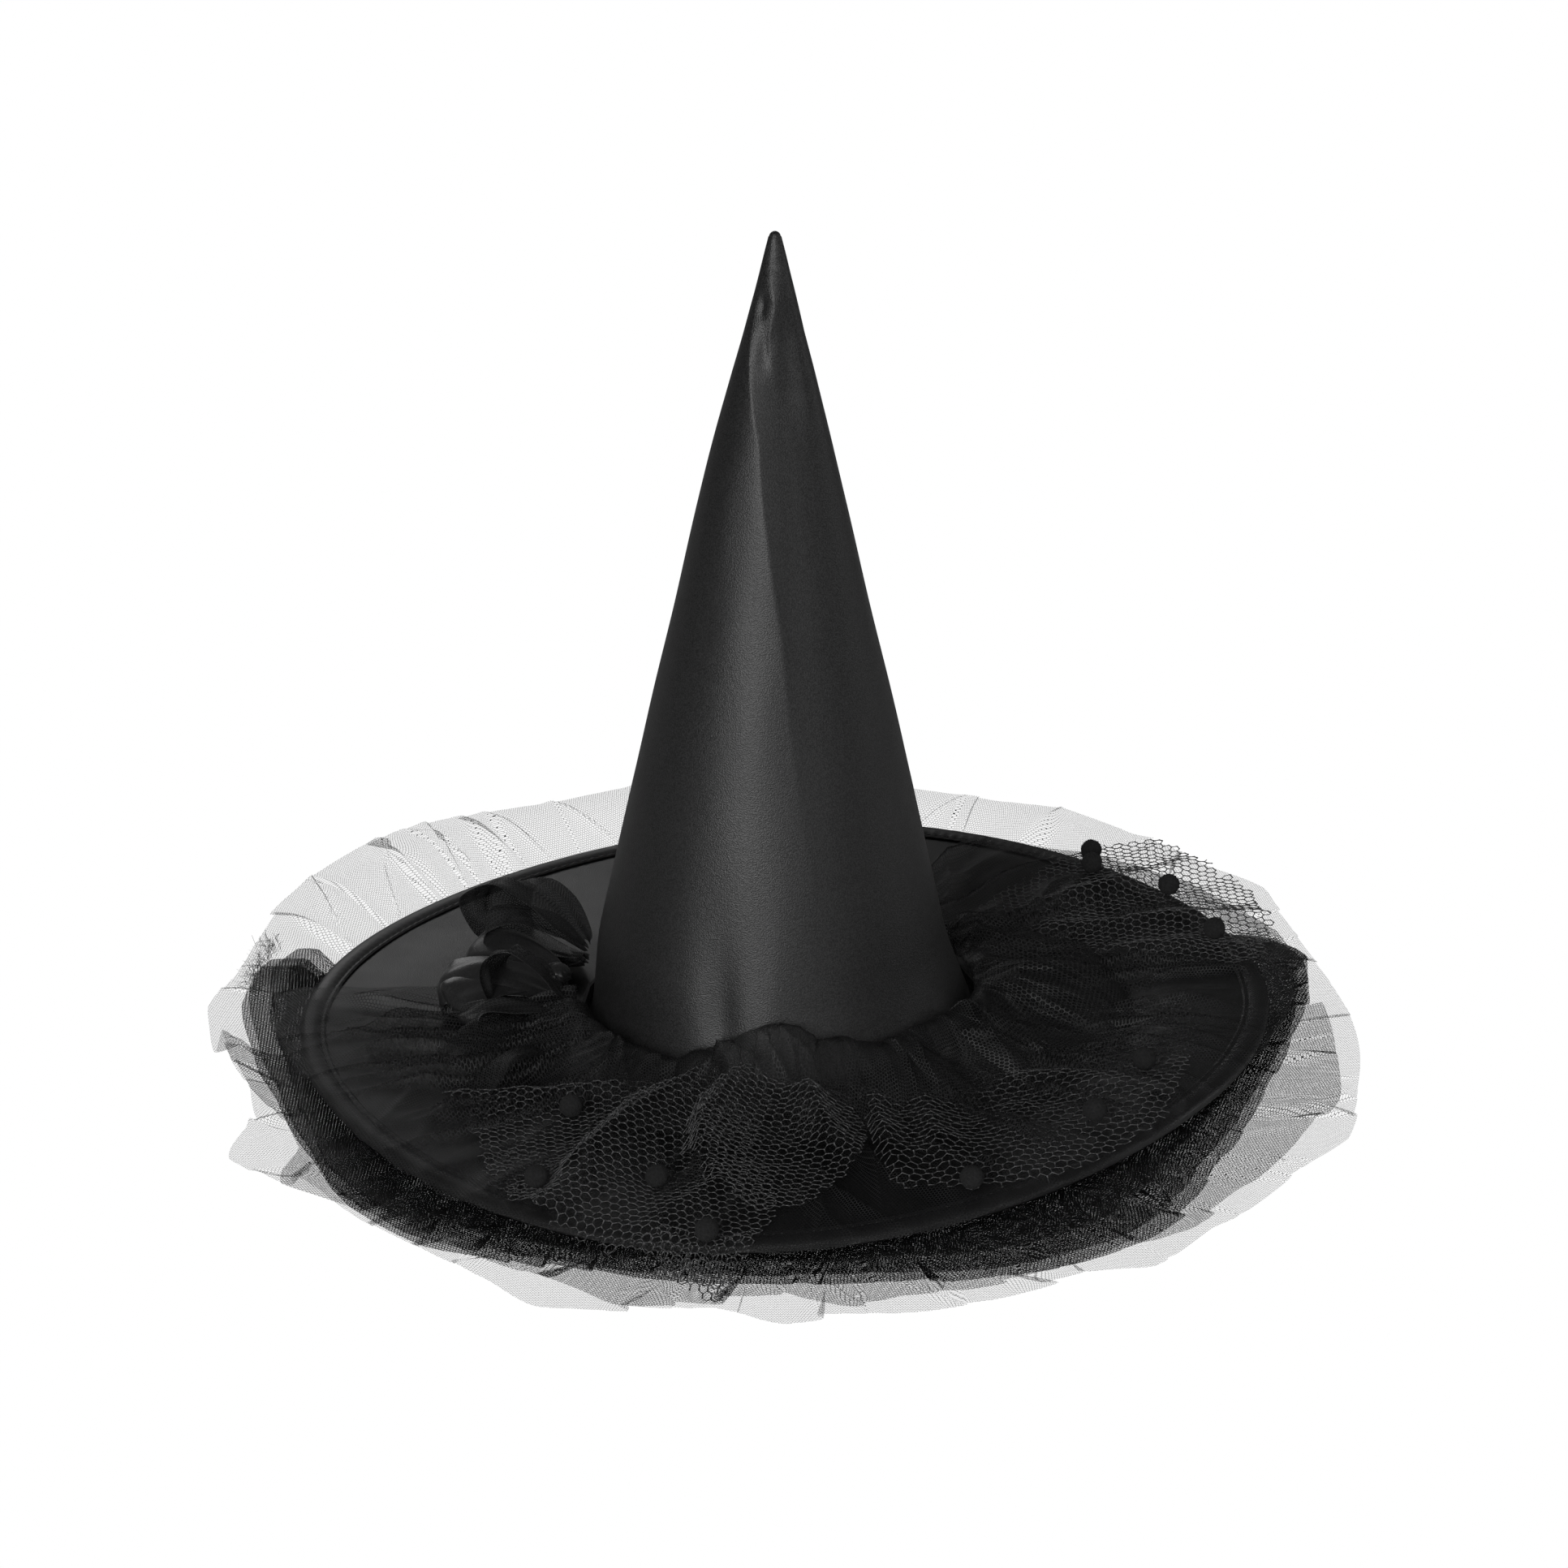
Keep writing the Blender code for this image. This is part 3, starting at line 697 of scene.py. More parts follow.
def under_brim(x, y, level, clearance):
    """Keeps a skirt below the brim where the brim is over it."""
    over = smooth((np.hypot(x, y) - 0.2115) / 0.010)
    ceiling = brim_middle(x, y) - clearance
    return np.minimum(level, ceiling) * (1 - over) + level * over


OUTER_HEM = metres([(-174, 244), (-167, 234), (-161, 236), (-154, 257), (-149, 243), (-143, 235),
                    (-130, 237), (-120, 240), (-113, 250), (-105, 240), (-97, 230), (-90, 242), (-85, 236),
                    (-76, 239), (-68, 238), (-59, 235), (-53, 247), (-44, 241), (-40, 243), (-29, 245),
                    (-21, 254), (-10, 250), (0, 251), (10, 250), (19, 250), (26, 255), (32, 262), (40, 255),
                    (50, 256), (58, 262), (66, 252), (76, 252), (84, 258), (95, 254), (105, 258),
                    (116, 252), (126, 256), (135, 262), (143, 262), (152, 260), (160, 252), (168, 249),
                    (176, 254)])
OUTER_RISE = metres([(0, 2.5), (20, 6), (32, 12), (50, 13), (80, 16), (110, 16), (135, 18), (150, 15),
                     (165, 10), (180, 9), (200, 7), (215, 3), (240, 1), (270, 0.8), (300, 1), (340, 2)])


def add_outer_skirt():
    """Light tulle: the whole skirt, and a shorter second ply in front."""
    plies = [("outer_tulle", "skirt_light", -268, 92, 0.0, 0.0009, 71),
             ("outer_tulle_front_ply", "skirt_front", -176, 8, 0.010, 0.0022, 75)]
    for name, cloth, start, end, shorter, base, seed in plies:
        def level(x, y, angle, base=base, seed=seed):
            radius = np.hypot(x, y)
            seam = smooth((0.155 - radius) / 0.035) * 0.0055
            out = smooth((radius - 0.205) / 0.045)
            tall = rise_at(OUTER_RISE, angle)
            waves = 0.0014 * (1 + noise(angle / 14, radius * 22, 5)) \
                + 0.0008 * creased(angle, radius, seed % 9, 9.0, 40, 0.7) \
                + 0.0008 * creased(angle, radius, seed % 9 + 2, 14.0, -60, 0.7)
            return under_brim(x, y, base + seam + out * (tall + waves * (0.45 + 40 * tall)), 0.0048)

        def hem(angle, shorter=shorter):
            return outline(OUTER_HEM, angle - 7 * (shorter > 0)) - shorter

        folds = make_folds(seed, (end - start) // 17, start + 6, end - 6, (1.6, 3.4), (1.3, 2.0),
                           (0.0010, 0.0024), 20, (0.50, 0.72))
        folds += make_folds(seed + 1, (end - start) // 9, start + 4, end - 4, (0.35, 0.8), (1.3, 1.9),
                            (0.0006, 0.0014), 26, (0.45, 0.75), 0.9)
        angles = np.linspace(start, end, int((end - start) * 4.6))
        skirt = ring_sheet(name, MATERIALS[cloth], angles, 0.121, hem, 46, level, folds)
        settle(skirt, "skirt_tulle", *(["outer_tulle_skirt"] if shorter == 0 else []))


DARK_HEM = metres([(164, 214), (167, 236), (175, 237), (-174, 229), (-165, 224), (-152, 226), (-141, 234),
                   (-130, 236), (-122, 228), (-112, 220), (-95, 215), (-80, 220), (-66, 232), (-54, 236),
                   (-46, 231), (-38, 219), (-30, 216), (-20, 214), (-8, 219), (4, 231), (12, 238),
                   (18, 232), (24, 216), (34, 207), (50, 206), (150, 206)])
DARK_RISE = metres([(0, 12), (10, 16), (18, 13), (28, 6), (42, 4), (60, 4), (150, 4), (170, 16), (180, 12),
                    (190, 7), (210, 4), (240, 2), (270, 1), (300, 3), (320, 7), (342, 11)])
# Where the dark skirt's plies stand apart, from 0 to 1.
DARK_SPREAD = [(0, 1.0), (22, 0.3), (34, 0.0), (250, 0.0), (285, 0.7), (310, 1.0), (340, 1.0)]
# How calm the dark tulle lies, from 0, pressed flat, to 1, crumpled.
DARK_CRUMPLE = [(0, 0.40), (40, 0.3), (90, 0.2), (150, 0.1), (215, 0.12), (240, 0.25), (300, 0.45)]


def add_inner_skirts():
    plies = [("inner_tulle_lower", "inner_tulle_skirt_lower", 0.0000, 31, 0.0010, 2.0, 0.000),
             ("inner_tulle_upper", "inner_tulle_skirt_upper", 0.0012, 33, -0.0010, 0.0, 0.004),
             ("inner_tulle_upper_ply", "inner_tulle_skirt_upper", 0.0024, 34, -0.0075, -4.0, 0.009)]
    for name, node, height, seed, longer, turned_by, apart in plies:
        def level(x, y, angle, height=height, seed=seed, apart=apart):
            radius = np.hypot(x, y)
            seam = smooth((0.155 - radius) / 0.035) * 0.0050
            out = smooth((radius - 0.185) / 0.035)
            held_up = rise_at(DARK_RISE, angle) + apart * rise_at(DARK_SPREAD, angle)
            held_up = held_up * smooth((radius - 0.150) / 0.060)
            waves = 0.0022 * creased(angle, radius, seed - 20, 9.0, 50, 0.6) \
                + 0.0016 * creased(angle, radius, seed - 17, 6.0, -30, 0.5) \
                + 0.0012 * (1 + noise(angle / 9, radius * 26, seed - 23))
            waves = waves * rise_at(DARK_CRUMPLE, angle)
            return under_brim(x, y, 0.0030 + height + seam + held_up + out * waves, 0.0044 - height * 0.3)

        hem = [(degrees + turned_by, radius + longer) for degrees, radius in DARK_HEM]
        folds = make_folds(seed, 9, -132, 30, (1.6, 3.6), (1.2, 1.8), (0.0008, 0.0020), 18, (0.45, 0.7))
        folds += make_folds(seed + 4, 14, -140, 20, (0.4, 0.9), (1.2, 1.8), (0.0005, 0.0012), 24,
                            (0.4, 0.7))
        skirt = ring_sheet(name, MATERIALS["skirt_dark"], np.linspace(-268, 92, 1100), 0.122,
                           hem_of(hem), 40, level, folds)
        settle(skirt, "skirt_tulle", node)


def add_frayed_end():
    """Cut threads that stand out of the dark skirt's raised end on the left."""
    rng = np.random.default_rng(5)
    verts, faces = [], []
    for _ in range(260):
        angle = radians(rng.uniform(165.5, 177.0))
        radius = 0.233 + rng.uniform(-0.002, 0.004)
        x, y = radius * cos(angle), radius * sin(angle)
        root = np.array([x, y, 0.024 + rng.uniform(-0.003, 0.003)])
        out = np.array([cos(angle) * rng.uniform(0.1, 1.0), sin(angle) + rng.normal(0, 0.6),
                        rng.uniform(0.1, 1.0)])
        bend = rng.normal(0, 0.4, 3)
        length = rng.uniform(0.002, 0.006)
        start = len(verts)
        for step in (0.0, 0.5, 1.0):
            point = root + (out + bend * step) * length * step
            half = 0.00008
            verts += [point + (half, 0, 0), point + (-half, 0, half), point + (0, half, -half)]
        faces += grid_faces(3, 3, wrap_columns=True, start=start)
        faces.append((start, start + 1, start + 2))
        faces.append((start + 8, start + 7, start + 6))
    frayed = add_piece("inner_tulle_frayed_threads", verts, faces, MATERIALS["thread"])
    settle(frayed, "skirt_tulle")


OVERLAY_HEM = metres([(165, 222), (176, 226), (-174, 222), (-165, 216), (-152, 214), (-141, 217),
                      (-128, 218), (-115, 217), (-100, 220), (-80, 219), (-60, 217), (-45, 214), (-30, 213),
                      (-17, 216), (2, 222), (12, 231), (22, 232), (33, 226), (45, 212), (58, 200),
                      (72, 190), (110, 190), (140, 200)])


def add_overlay():
    start, end = -186, 64

    def level(x, y, angle):
        radius = np.hypot(x, y)
        gather = 0.0040 * smooth((0.130 - radius) / 0.035)
        fade = 1 - 0.70 * smooth((radius - 0.165) / 0.045)
        waves = fade * (0.0064 * creased(angle, radius, 12, 3.6, 14, 0.40)
                        + 0.0050 * creased(angle, radius, 14, 6.0, -22, 0.35)) \
            + 0.0006 * (1 + noise(angle / 5, radius * 30, 13))
        droop = 0.30 * np.maximum(radius - 0.2125, 0.0)
        return brim_middle(x, y) + 0.0032 + gather + waves - droop

    folds = make_folds(41, 18, start, end, (1.6, 3.4), (1.2, 2.0), (0.0020, 0.0044), 8, (0.9, 1.3), -0.1)
    folds += make_folds(43, 40, start, end, (0.4, 0.9), (1.2, 1.9), (0.0008, 0.0018), 12, (0.7, 1.4), -0.1)
    overlay = ring_sheet("brim_overlay_tulle", MATERIALS["overlay"], np.linspace(start, end, 1300), 0.0905,
                         hem_of(OVERLAY_HEM), 60, level, folds)
    settle(overlay, "overlay_tulle", "brim_tulle_overlay")


# FRILL ROUND THE CROWN'S FOOT

# How high the frill stands against the crown, and how far it reaches out over the brim.
FRILL_TOP = metres([(-180, 7), (-160, 10), (-145, 11), (-130, 12), (-121, 13), (-113, 18), (-107, 22),
                    (-98, 29), (-88, 32), (-78, 28), (-70, 24), (-59, 21), (-48, 23), (-38, 20), (-29, 17),
                    (-15, 14), (0, 14), (15, 14), (34, 8), (60, 6)])
FRILL_REACH = metres([(-180, 128), (-150, 124), (-120, 122), (-90, 124), (-60, 126), (-35, 132), (-15, 150),
                      (5, 152), (22, 146), (36, 122), (60, 120)])


def add_frill(name, node, start, end, seed, swell):
    v, u = shares(48, 560)
    angle = start + (end - start) * u
    ends = smooth(u / 0.10) * smooth((1 - u) / 0.10)
    span = int(end - start)
    folds = make_folds(seed, span // 7, start, end, (1.6, 3.4), (1.0, 1.8), (0.0010, 0.0030), 14,
                       (1.0, 1.4), -0.2)
    folds += make_folds(seed + 9, span // 3, start, end, (0.4, 1.0), (1.0, 1.8), (0.0006, 0.0014), 16,
                        (0.8, 1.4), -0.2)
    shift, lift = apply_folds(angle, v, folds)
    turn = np.radians(angle + shift)
    top = np.interp(angle, *zip(*FRILL_TOP)) * (0.25 + 0.75 * ends)
    top = top * (1 + 0.10 * noise(angle / 6, 0 * v + seed, 12))
    reach = 0.098 + (np.interp(angle, *zip(*FRILL_REACH)) - 0.098) * ends
    soft = noise(angle / 9, v * 2 + seed, 15)
    lean_out = 0.0014 + 0.0030 * smooth(v / 0.22)
    wall = crown_radius(np.maximum(top, 0)) + lean_out
    radius = wall + (reach - wall) * smooth(v) ** 1.15
    roll = 0.0040 * np.sin(pi * np.clip(v * 2.2, 0, 1)) * ends
    roll = roll * (0.6 + 0.4 * noise(angle / 5, v + seed, 11))
    hang = top * (1 - smooth(v * 1.05) ** 0.8)
    billow = swell * ends * np.sin(pi * np.clip(v, 0, 1)) ** 1.4 * (0.70 + 0.7 * soft)
    pull = (0.0044 * creased(angle, v * 0.1, seed % 16, 4.0, 26, 0.4)
            + 0.0030 * creased(angle, v * 0.1, (seed + 3) % 16, 7.0, -40, 0.4))
    pull = pull * np.sin(pi * np.clip(v * 1.1, 0, 1))
    x = radius * np.cos(turn) + lean(hang)
    y = radius * np.sin(turn)
    z = brim_middle(x, y) + 0.0052 + hang + roll + billow + pull + lift * np.sin(pi * v)
    inside = crown_radius(np.maximum(z - BRIM_PLANE, 0)) + 0.0012 - np.hypot(x - lean(z - BRIM_PLANE), y)
    push = 1 + np.maximum(inside, 0) / np.maximum(np.hypot(x, y), 1e-4)
    x, y = x * push, y * push
    length = radians(end - start) * 0.118 * 1.35
    frill = grid_piece(name, x, y, z, MATERIALS["overlay"], (u * length, v * 0.060))
    give_thickness(frill)
    settle(frill, "overlay_tulle", node)


def add_frills():
    add_frill("crown_frill_left_tulle", "crown_frill_left", -176, -104, 51, 0.0035)
    add_frill("crown_frill_front_tulle", "crown_frill_front", -124, -30, 52, 0.0045)
    add_frill("crown_frill_right_tulle", "crown_frill_right", -44, 42, 53, 0.0160)


# DOTTED VEIL NET

CELL = 0.0042
STRAND = 0.00056
POMPOM_NODES = [f"pompom_{number:02d}" for number in range(1, 12)]
POMPOM_CENTRES = [middle_of(node) for node in POMPOM_NODES]


def inside(border, x, y):
    """Whether points lie inside a closed outline."""
    crossings = np.zeros(x.shape, bool)
    for (x0, y0), (x1, y1) in zip(border, np.roll(border, -1, axis=0)):
        if y0 != y1:
            crossings ^= ((y0 > y) != (y1 > y)) & (x < x0 + (y - y0) * (x1 - x0) / (y1 - y0))
    return crossings


def honeycomb(border, degrees, stretch, seed):
    """Corners and sides of an even net, turned by degrees and stretched, inside a ragged border.

    Each side is (first corner, second corner, whether it is one of the twisted links between two rows).
    """
    centre = border.mean(axis=0)
    side = CELL / sqrt(3)
    span = 1.2 * np.ptp(border, axis=0).max()
    rows, columns = int(span / (1.5 * side * stretch[1])), int(span / (CELL * stretch[0]))
    ids, corners, sides = {}, [], set()
    for row in range(-rows // 2, rows // 2 + 1):
        for column in range(-columns // 2, columns // 2 + 1):
            middle = ((column + 0.5 * (row % 2)) * CELL, row * 1.5 * side)
            cell = []
            for turn in (radians(30 + 60 * corner) for corner in range(6)):
                point = (middle[0] + side * cos(turn), middle[1] + side * sin(turn))
                key = (round(point[0] / side * 4), round(point[1] / side * 4))
                if key not in ids:
                    ids[key] = len(corners)
                    corners.append(point)
                cell.append(ids[key])
            for first, second in zip(cell, cell[1:] + cell[:1]):
                link = abs(corners[first][0] - corners[second][0]) < side * 0.1
                sides.add((min(first, second), max(first, second), link))
    flat = np.array(corners) * stretch
    turn = radians(degrees)
    x = centre[0] + flat[:, 0] * cos(turn) - flat[:, 1] * sin(turn)
    y = centre[1] + flat[:, 0] * sin(turn) + flat[:, 1] * cos(turn)
    x, y = x + 0.0012 * noise(x * 45, y * 45, seed), y + 0.0012 * noise(x * 45, y * 45, seed + 1)
    ragged = 0.0022 * noise(x * 160, y * 160, seed + 2)
    kept = inside(border, x + ragged, y + ragged)
    return x, y, sorted(side for side in sides if kept[side[0]] and kept[side[1]])


def ridge_height(x, y, ridges):
    """Folds along lines: ([(x, y, height), ...], width on the left of its run, width on the right)."""
    total = np.zeros_like(x)
    for line, left, right in ridges:
        best = np.full(x.shape, 1e9)
        value = np.zeros_like(x)
        for (x0, y0, h0), (x1, y1, h1) in zip(line, line[1:]):
            dx, dy = x1 - x0, y1 - y0
            share = np.clip(((x - x0) * dx + (y - y0) * dy) / (dx * dx + dy * dy), 0, 1)
            off_x, off_y = x - x0 - share * dx, y - y0 - share * dy
            distance = np.hypot(off_x, off_y)
            width = np.where(dx * off_y - dy * off_x > 0, left, right)
            height = (h0 + (h1 - h0) * share) * np.exp(0.3 - np.sqrt((distance / width) ** 2 + 0.09))
            nearer = distance < best
            value = np.where(nearer, height, value)
            best = np.where(nearer, distance, best)
        total = total + value
    return total


def net_height(x, y, level, ridges, droop, seed):
    """The net lies on the overlay and its own folds, holds the pompoms and falls over the rim."""
    ripple = 0.0008 * noise(x * 90, y * 90, seed) + 0.0005 * noise(x * 210, y * 210, seed + 1)
    past = np.maximum(np.hypot(x, y) - BRIM_RADIUS - 0.003, 0.0)
    z = brim_middle(x, y) + level + 0.0016 + ripple + ridge_height(x, y, ridges) - droop * past
    for centre in POMPOM_CENTRES:
        near = bell(np.hypot(x - centre.x, y - centre.y) / 0.009)
        z = z + near * np.minimum(centre.z - 0.0040 - z, 0.0)
    return np.maximum(z, 0.0014)


def add_net(place, ridges, panels, droop=0.45):
    """One piece of twisted strands. Borders, levels and folds are in millimetres.

    panels: (border, degrees, stretch, level, seed). ridges: as in ridge_height.
    """
    ridges = [(np.array(line) / 1000, left / 1000, right / 1000) for line, left, right in ridges]
    verts, faces = [], []
    for border, degrees, stretch, level, seed in panels:
        level = level / 1000
        x, y, sides = honeycomb(np.array(border) / 1000, degrees, stretch, seed)
        z = net_height(x, y, level, ridges, droop, seed)
        step = 0.0006
        slope_x = (net_height(x + step, y, level, ridges, droop, seed) - z) / step
        slope_y = (net_height(x, y + step, level, ridges, droop, seed) - z) / step
        normals = np.stack([-slope_x, -slope_y, np.ones_like(x)], axis=1)
        points = np.stack([x, y, z], axis=1) + np.random.default_rng(seed).normal(0, 0.00010, (len(x), 3))
        for first, second, link in sides:
            a, b = points[first], points[second]
            direction = (b - a) / np.linalg.norm(b - a)
            across = np.cross(direction, normals[first] + normals[second])
            across /= np.linalg.norm(across)
            up = np.cross(across, direction)
            start = len(verts)
            thick = STRAND / 2 * (1.15 if link else 0.85)
            for point, size in ((a, 1.25), ((a + b) / 2, 0.85), (b, 1.25)):
                half = thick * size
                sideways, upwards = across * half, up * half
                verts += [point + sideways, point + upwards, point - sideways, point - upwards]
            faces += grid_faces(3, 4, wrap_columns=True, start=start)
            faces.append((start, start + 1, start + 2, start + 3))
            faces.append((start + 11, start + 10, start + 9, start + 8))
    net = add_piece("veil_net_" + place, verts, faces, MATERIALS["strand"])
    settle(net, "veil_net", "dotted_net_" + place)


def add_nets():
    left_folds = [
        ([(-106, -200, 3), (-80, -150, 15), (-60, -113, 18), (-36, -90, 13)], 6, 26),
        ([(-150, -92, 1), (-110, -88, 6), (-70, -84, 8), (-30, -86, 5)], 6, 12),
        ([(-60, -215, 2), (-40, -190, 5), (-18, -160, 4)], 8, 14)]
    add_net("front_left", left_folds, [
        ([(-151, -87), (-132, -102), (-124, -141), (-117, -165), (-105, -186),
          (-98, -194), (-75, -210), (-52, -221), (-38, -230), (-25, -241),
          (-18, -226), (-10, -212), (-2, -196), (-4, -163), (-10, -120),
          (-12, -94), (-34, -86), (-64, -82), (-91, -81), (-118, -84)],
         -24, (1.0, 1.0), 5.2, 61),
        ([(-66, -205), (-50, -222), (-25, -241), (-16, -222), (-8, -205)],
         -8, (0.9, 0.9), 4.0, 66),
        ([(-124, -141), (-117, -165), (-98, -192), (-88, -170), (-98, -128)],
         14, (1.0, 1.0), 4.0, 67)])
    centre_folds = [
        ([(-14, -206, 3), (-34, -166, 15), (-34, -130, 22), (-20, -100, 20)], 5, 20),
        ([(34, -168, 2), (18, -140, 10), (10, -108, 12)], 8, 9)]
    add_net("centre_fold", centre_folds, [
        ([(-42, -150), (-40, -124), (-26, -98), (0, -92), (26, -96),
          (36, -128), (34, -150), (22, -176), (8, -196), (-12, -204), (-34, -176)],
         20, (1.0, 0.95), 8.8, 63)])
    right_folds = [
        ([(48, -182, 3), (40, -140, 12), (36, -104, 12), (32, -88, 8)], 5, 12),
        ([(70, -186, 2), (62, -146, 7), (58, -100, 7)], 6, 12),
        ([(150, -120, 2), (115, -85, 6), (85, -72, 5)], 10, 16),
        ([(100, -180, 1), (96, -140, 3), (92, -110, 3)], 10, 14)]
    add_net("front_right", right_folds, [
        ([(30, -92), (50, -80), (72, -66), (98, -42), (118, -22), (136, -10),
          (153, -7), (175, -11), (178, -48), (172, -83), (157, -143), (135, -168),
          (105, -187), (69, -190), (44, -183), (36, -150), (34, -120)],
         6, (1.15, 1.25), 5.6, 64)])
    back_folds = [
        ([(210, 70, 3), (170, 70, 6), (120, 72, 4)], 10, 8),
        ([(184, 130, 2), (150, 110, 7), (110, 94, 3)], 8, 10),
        ([(205, 38, 1), (160, 42, 5), (120, 46, 3)], 10, 8)]
    add_net("back_right", back_folds, [
        ([(128, 150), (150, 160), (172, 162), (188, 148), (203, 117), (213, 91),
          (218, 58), (215, 26), (196, 14), (170, 28), (149, 40), (120, 40),
          (104, 50), (88, 66), (86, 100), (110, 130)],
         32, (1.0, 1.0), 5.6, 65)], -0.10)


# POMPOMS

def add_pompom(node, seed):
    """A core of clipped fluff with loose fibres standing out of it."""
    low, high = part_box(node)
    centre = np.array((low + high) / 2)
    radius = (high.z - low.z) / 2 * 0.98
    rng = np.random.default_rng(seed)
    verts, faces = ball(radius * 0.93, lambda vert: np.array(vert) * (1 + rng.normal(0, 0.035)) + centre)
    half = 0.00006
    for _ in range(700):
        direction = rng.normal(size=3)
        direction /= np.linalg.norm(direction)
        side = np.cross(direction, rng.normal(size=3))
        side /= np.linalg.norm(side)
        other = np.cross(direction, side)
        lean_out = direction + side * rng.uniform(-0.5, 0.5)
        root = centre + direction * radius * 0.86
        tip = root + lean_out * radius * rng.uniform(0.10, 0.24)
        start = len(verts)
        back = root - side * half / 2
        verts += [root + side * half, back + other * half, back - other * half, tip]
        faces += [(start + a, start + b, start + 3) for a, b in ((0, 1), (1, 2), (2, 0))]
    pompom = add_piece(node + "_fluff", verts, faces, MATERIALS["fluff"])
    settle(pompom, "pompom_fluff", node)


# ROSETTE

KNOT_RADIUS = 0.0062
# A loop's side view: (share of its reach, share of its height) from the knot, out below and back on top.
LOOP_PATH = [(0.04, 0.10), (0.30, 0.02), (0.62, 0.00), (0.90, 0.12), (1.00, 0.45), (0.93, 0.82),
             (0.66, 1.00), (0.36, 0.86), (0.14, 0.55), (0.02, 0.40)]


# The rosette's cloths: material, thickness and how crushed they are.
ROSETTE_CLOTHS = {"satin": ("ribbon", 0.0005, 1.0), "tulle": ("rosette", TULLE_THICK, 2.2)}


def ribbon_loop(name, cloth, nodes, start, degrees, reach, height, width, tilt, seed):
    """A loop of ribbon: out from its tie along the brim, round its full end and back on top.

    It is pinched at the tie. tilt turns its open side up (positive) or down, as a share of its width.
    """
    material, thickness, crushed = ROSETTE_CLOTHS[cloth]
    vv, uu = np.meshgrid(np.linspace(-1, 1, 36), np.linspace(0, 1, 120), indexing="ij")
    path = along(LOOP_PATH, uu)
    direction = np.array([cos(radians(degrees)), sin(radians(degrees))])
    side = np.array([-direction[1], direction[0]])
    full = np.sin(pi * np.clip(uu, 0, 1)) ** 0.9
    pinch = 0.20 + 0.80 * full
    half = width / 2 * pinch
    gather = (1 - full) ** 0.7
    pleats = (0.0008 * np.sin(vv * 5 + seed) + 0.0004 * np.sin(vv * 9 + 2.0 * seed)) * (0.05 + gather)
    crumple = crushed * (0.0016 * noise(uu * 4 * crushed, vv * crushed + seed, seed % 16) * full
                         + 0.0005 * noise(uu * 9, vv * 2.0 * crushed, seed % 13))
    cup = 0.18 * width * (1 - vv * vv) * full
    out = reach * path[..., 0] + crumple + cup * (path[..., 0] - 0.5) * 0.8
    level = height * path[..., 1] + pleats + crumple + cup * (path[..., 1] - 0.5) * 0.8
    across = vv * half
    x = start[0] + direction[0] * out + side[0] * across
    y = start[1] + direction[1] * out + side[1] * across
    z = brim_middle(x, y) + start[2] + level + tilt * across
    z = np.maximum(z, brim_middle(x, y) + 0.0032 + 0.0012 * uu)
    outside = np.hypot(x - lean(z - BRIM_PLANE), y)
    push = 1 + np.maximum(crown_radius(z - BRIM_PLANE) + 0.0030 - outside, 0) / np.maximum(outside, 1e-6)
    cloth_places = (uu * reach * 2.3, vv * width / 2)
    piece = grid_piece(name, x * push, y * push, z, MATERIALS[material], cloth_places)
    give_thickness(piece, thickness)
    settle(piece, "rosette_" + cloth, *nodes)


def add_rosette():
    upper, lower = (-0.087, 0.046, 0.006), (-0.094, -0.008, 0.004)
    middle, front = (-0.094, 0.022, 0.004), (-0.096, 0.010, 0.004)
    # (cloth, place, whether a CAD loop stands for it, tie, degrees, reach, height, width, tilt)
    loops = [("tulle", "upper", True, upper, 138, 0.058, 0.028, 0.042, 0.25),
             ("tulle", "fan", False, upper, 164, 0.046, 0.022, 0.034, 0.15),
             ("satin", "upper", True, middle, 150, 0.050, 0.016, 0.022, -0.3),
             ("satin", "left", True, front, 178, 0.054, 0.015, 0.026, -0.35),
             ("tulle", "lower", True, lower, 160, 0.034, 0.030, 0.030, 0.5),
             ("tulle", "puff", False, lower, 200, 0.044, 0.014, 0.030, 0.3),
             ("satin", "lower", True, middle, 206, 0.056, 0.012, 0.022, -0.2)]
    for seed, (cloth, place, in_cad, *measures) in enumerate(loops, 71):
        nodes = [f"rosette_{cloth}_loop_{place}"] if in_cad else []
        ribbon_loop(f"rosette_{cloth}_{place}", cloth, nodes, *measures, seed)

    def pleated(vert):
        up = vert.z / KNOT_RADIUS
        vert *= 1 + 0.10 * sin(7 * np.arctan2(vert.y, vert.x) + 60 * up) * (1 - abs(up))
        vert.z *= 0.85
        return vert + middle_of("rosette_knot")

    knot = add_piece("rosette_knot_satin", *ball(KNOT_RADIUS, pleated), MATERIALS["ribbon"])
    settle(knot, "rosette_satin", "rosette_knot")

    v, u = shares(40, 60)
    inner = along([(-0.104, -0.004), (-0.100, -0.026), (-0.096, -0.046)], u)
    outer = along([(-0.149, -0.044), (-0.142, -0.070), (-0.124, -0.094)], u)
    spot = inner * (1 - v)[..., None] + outer * v[..., None]
    x, y = spot[..., 0], spot[..., 1]
    z = brim_middle(x, y) + 0.0062 + 0.007 * np.sin(pi * v) * (1 + 0.6 * np.sin(9 * u)) \
        + 0.0016 * (1 + noise(u * 7, v * 3, 9))
    tail = grid_piece("rosette_tail_tulle", x, y, z, MATERIALS["overlay"], (u * 0.055, v * 0.07))
    give_thickness(tail)
    settle(tail, "rosette_tulle", "rosette_tulle_tail")


# CAMERA, FLOOR AND LIGHT

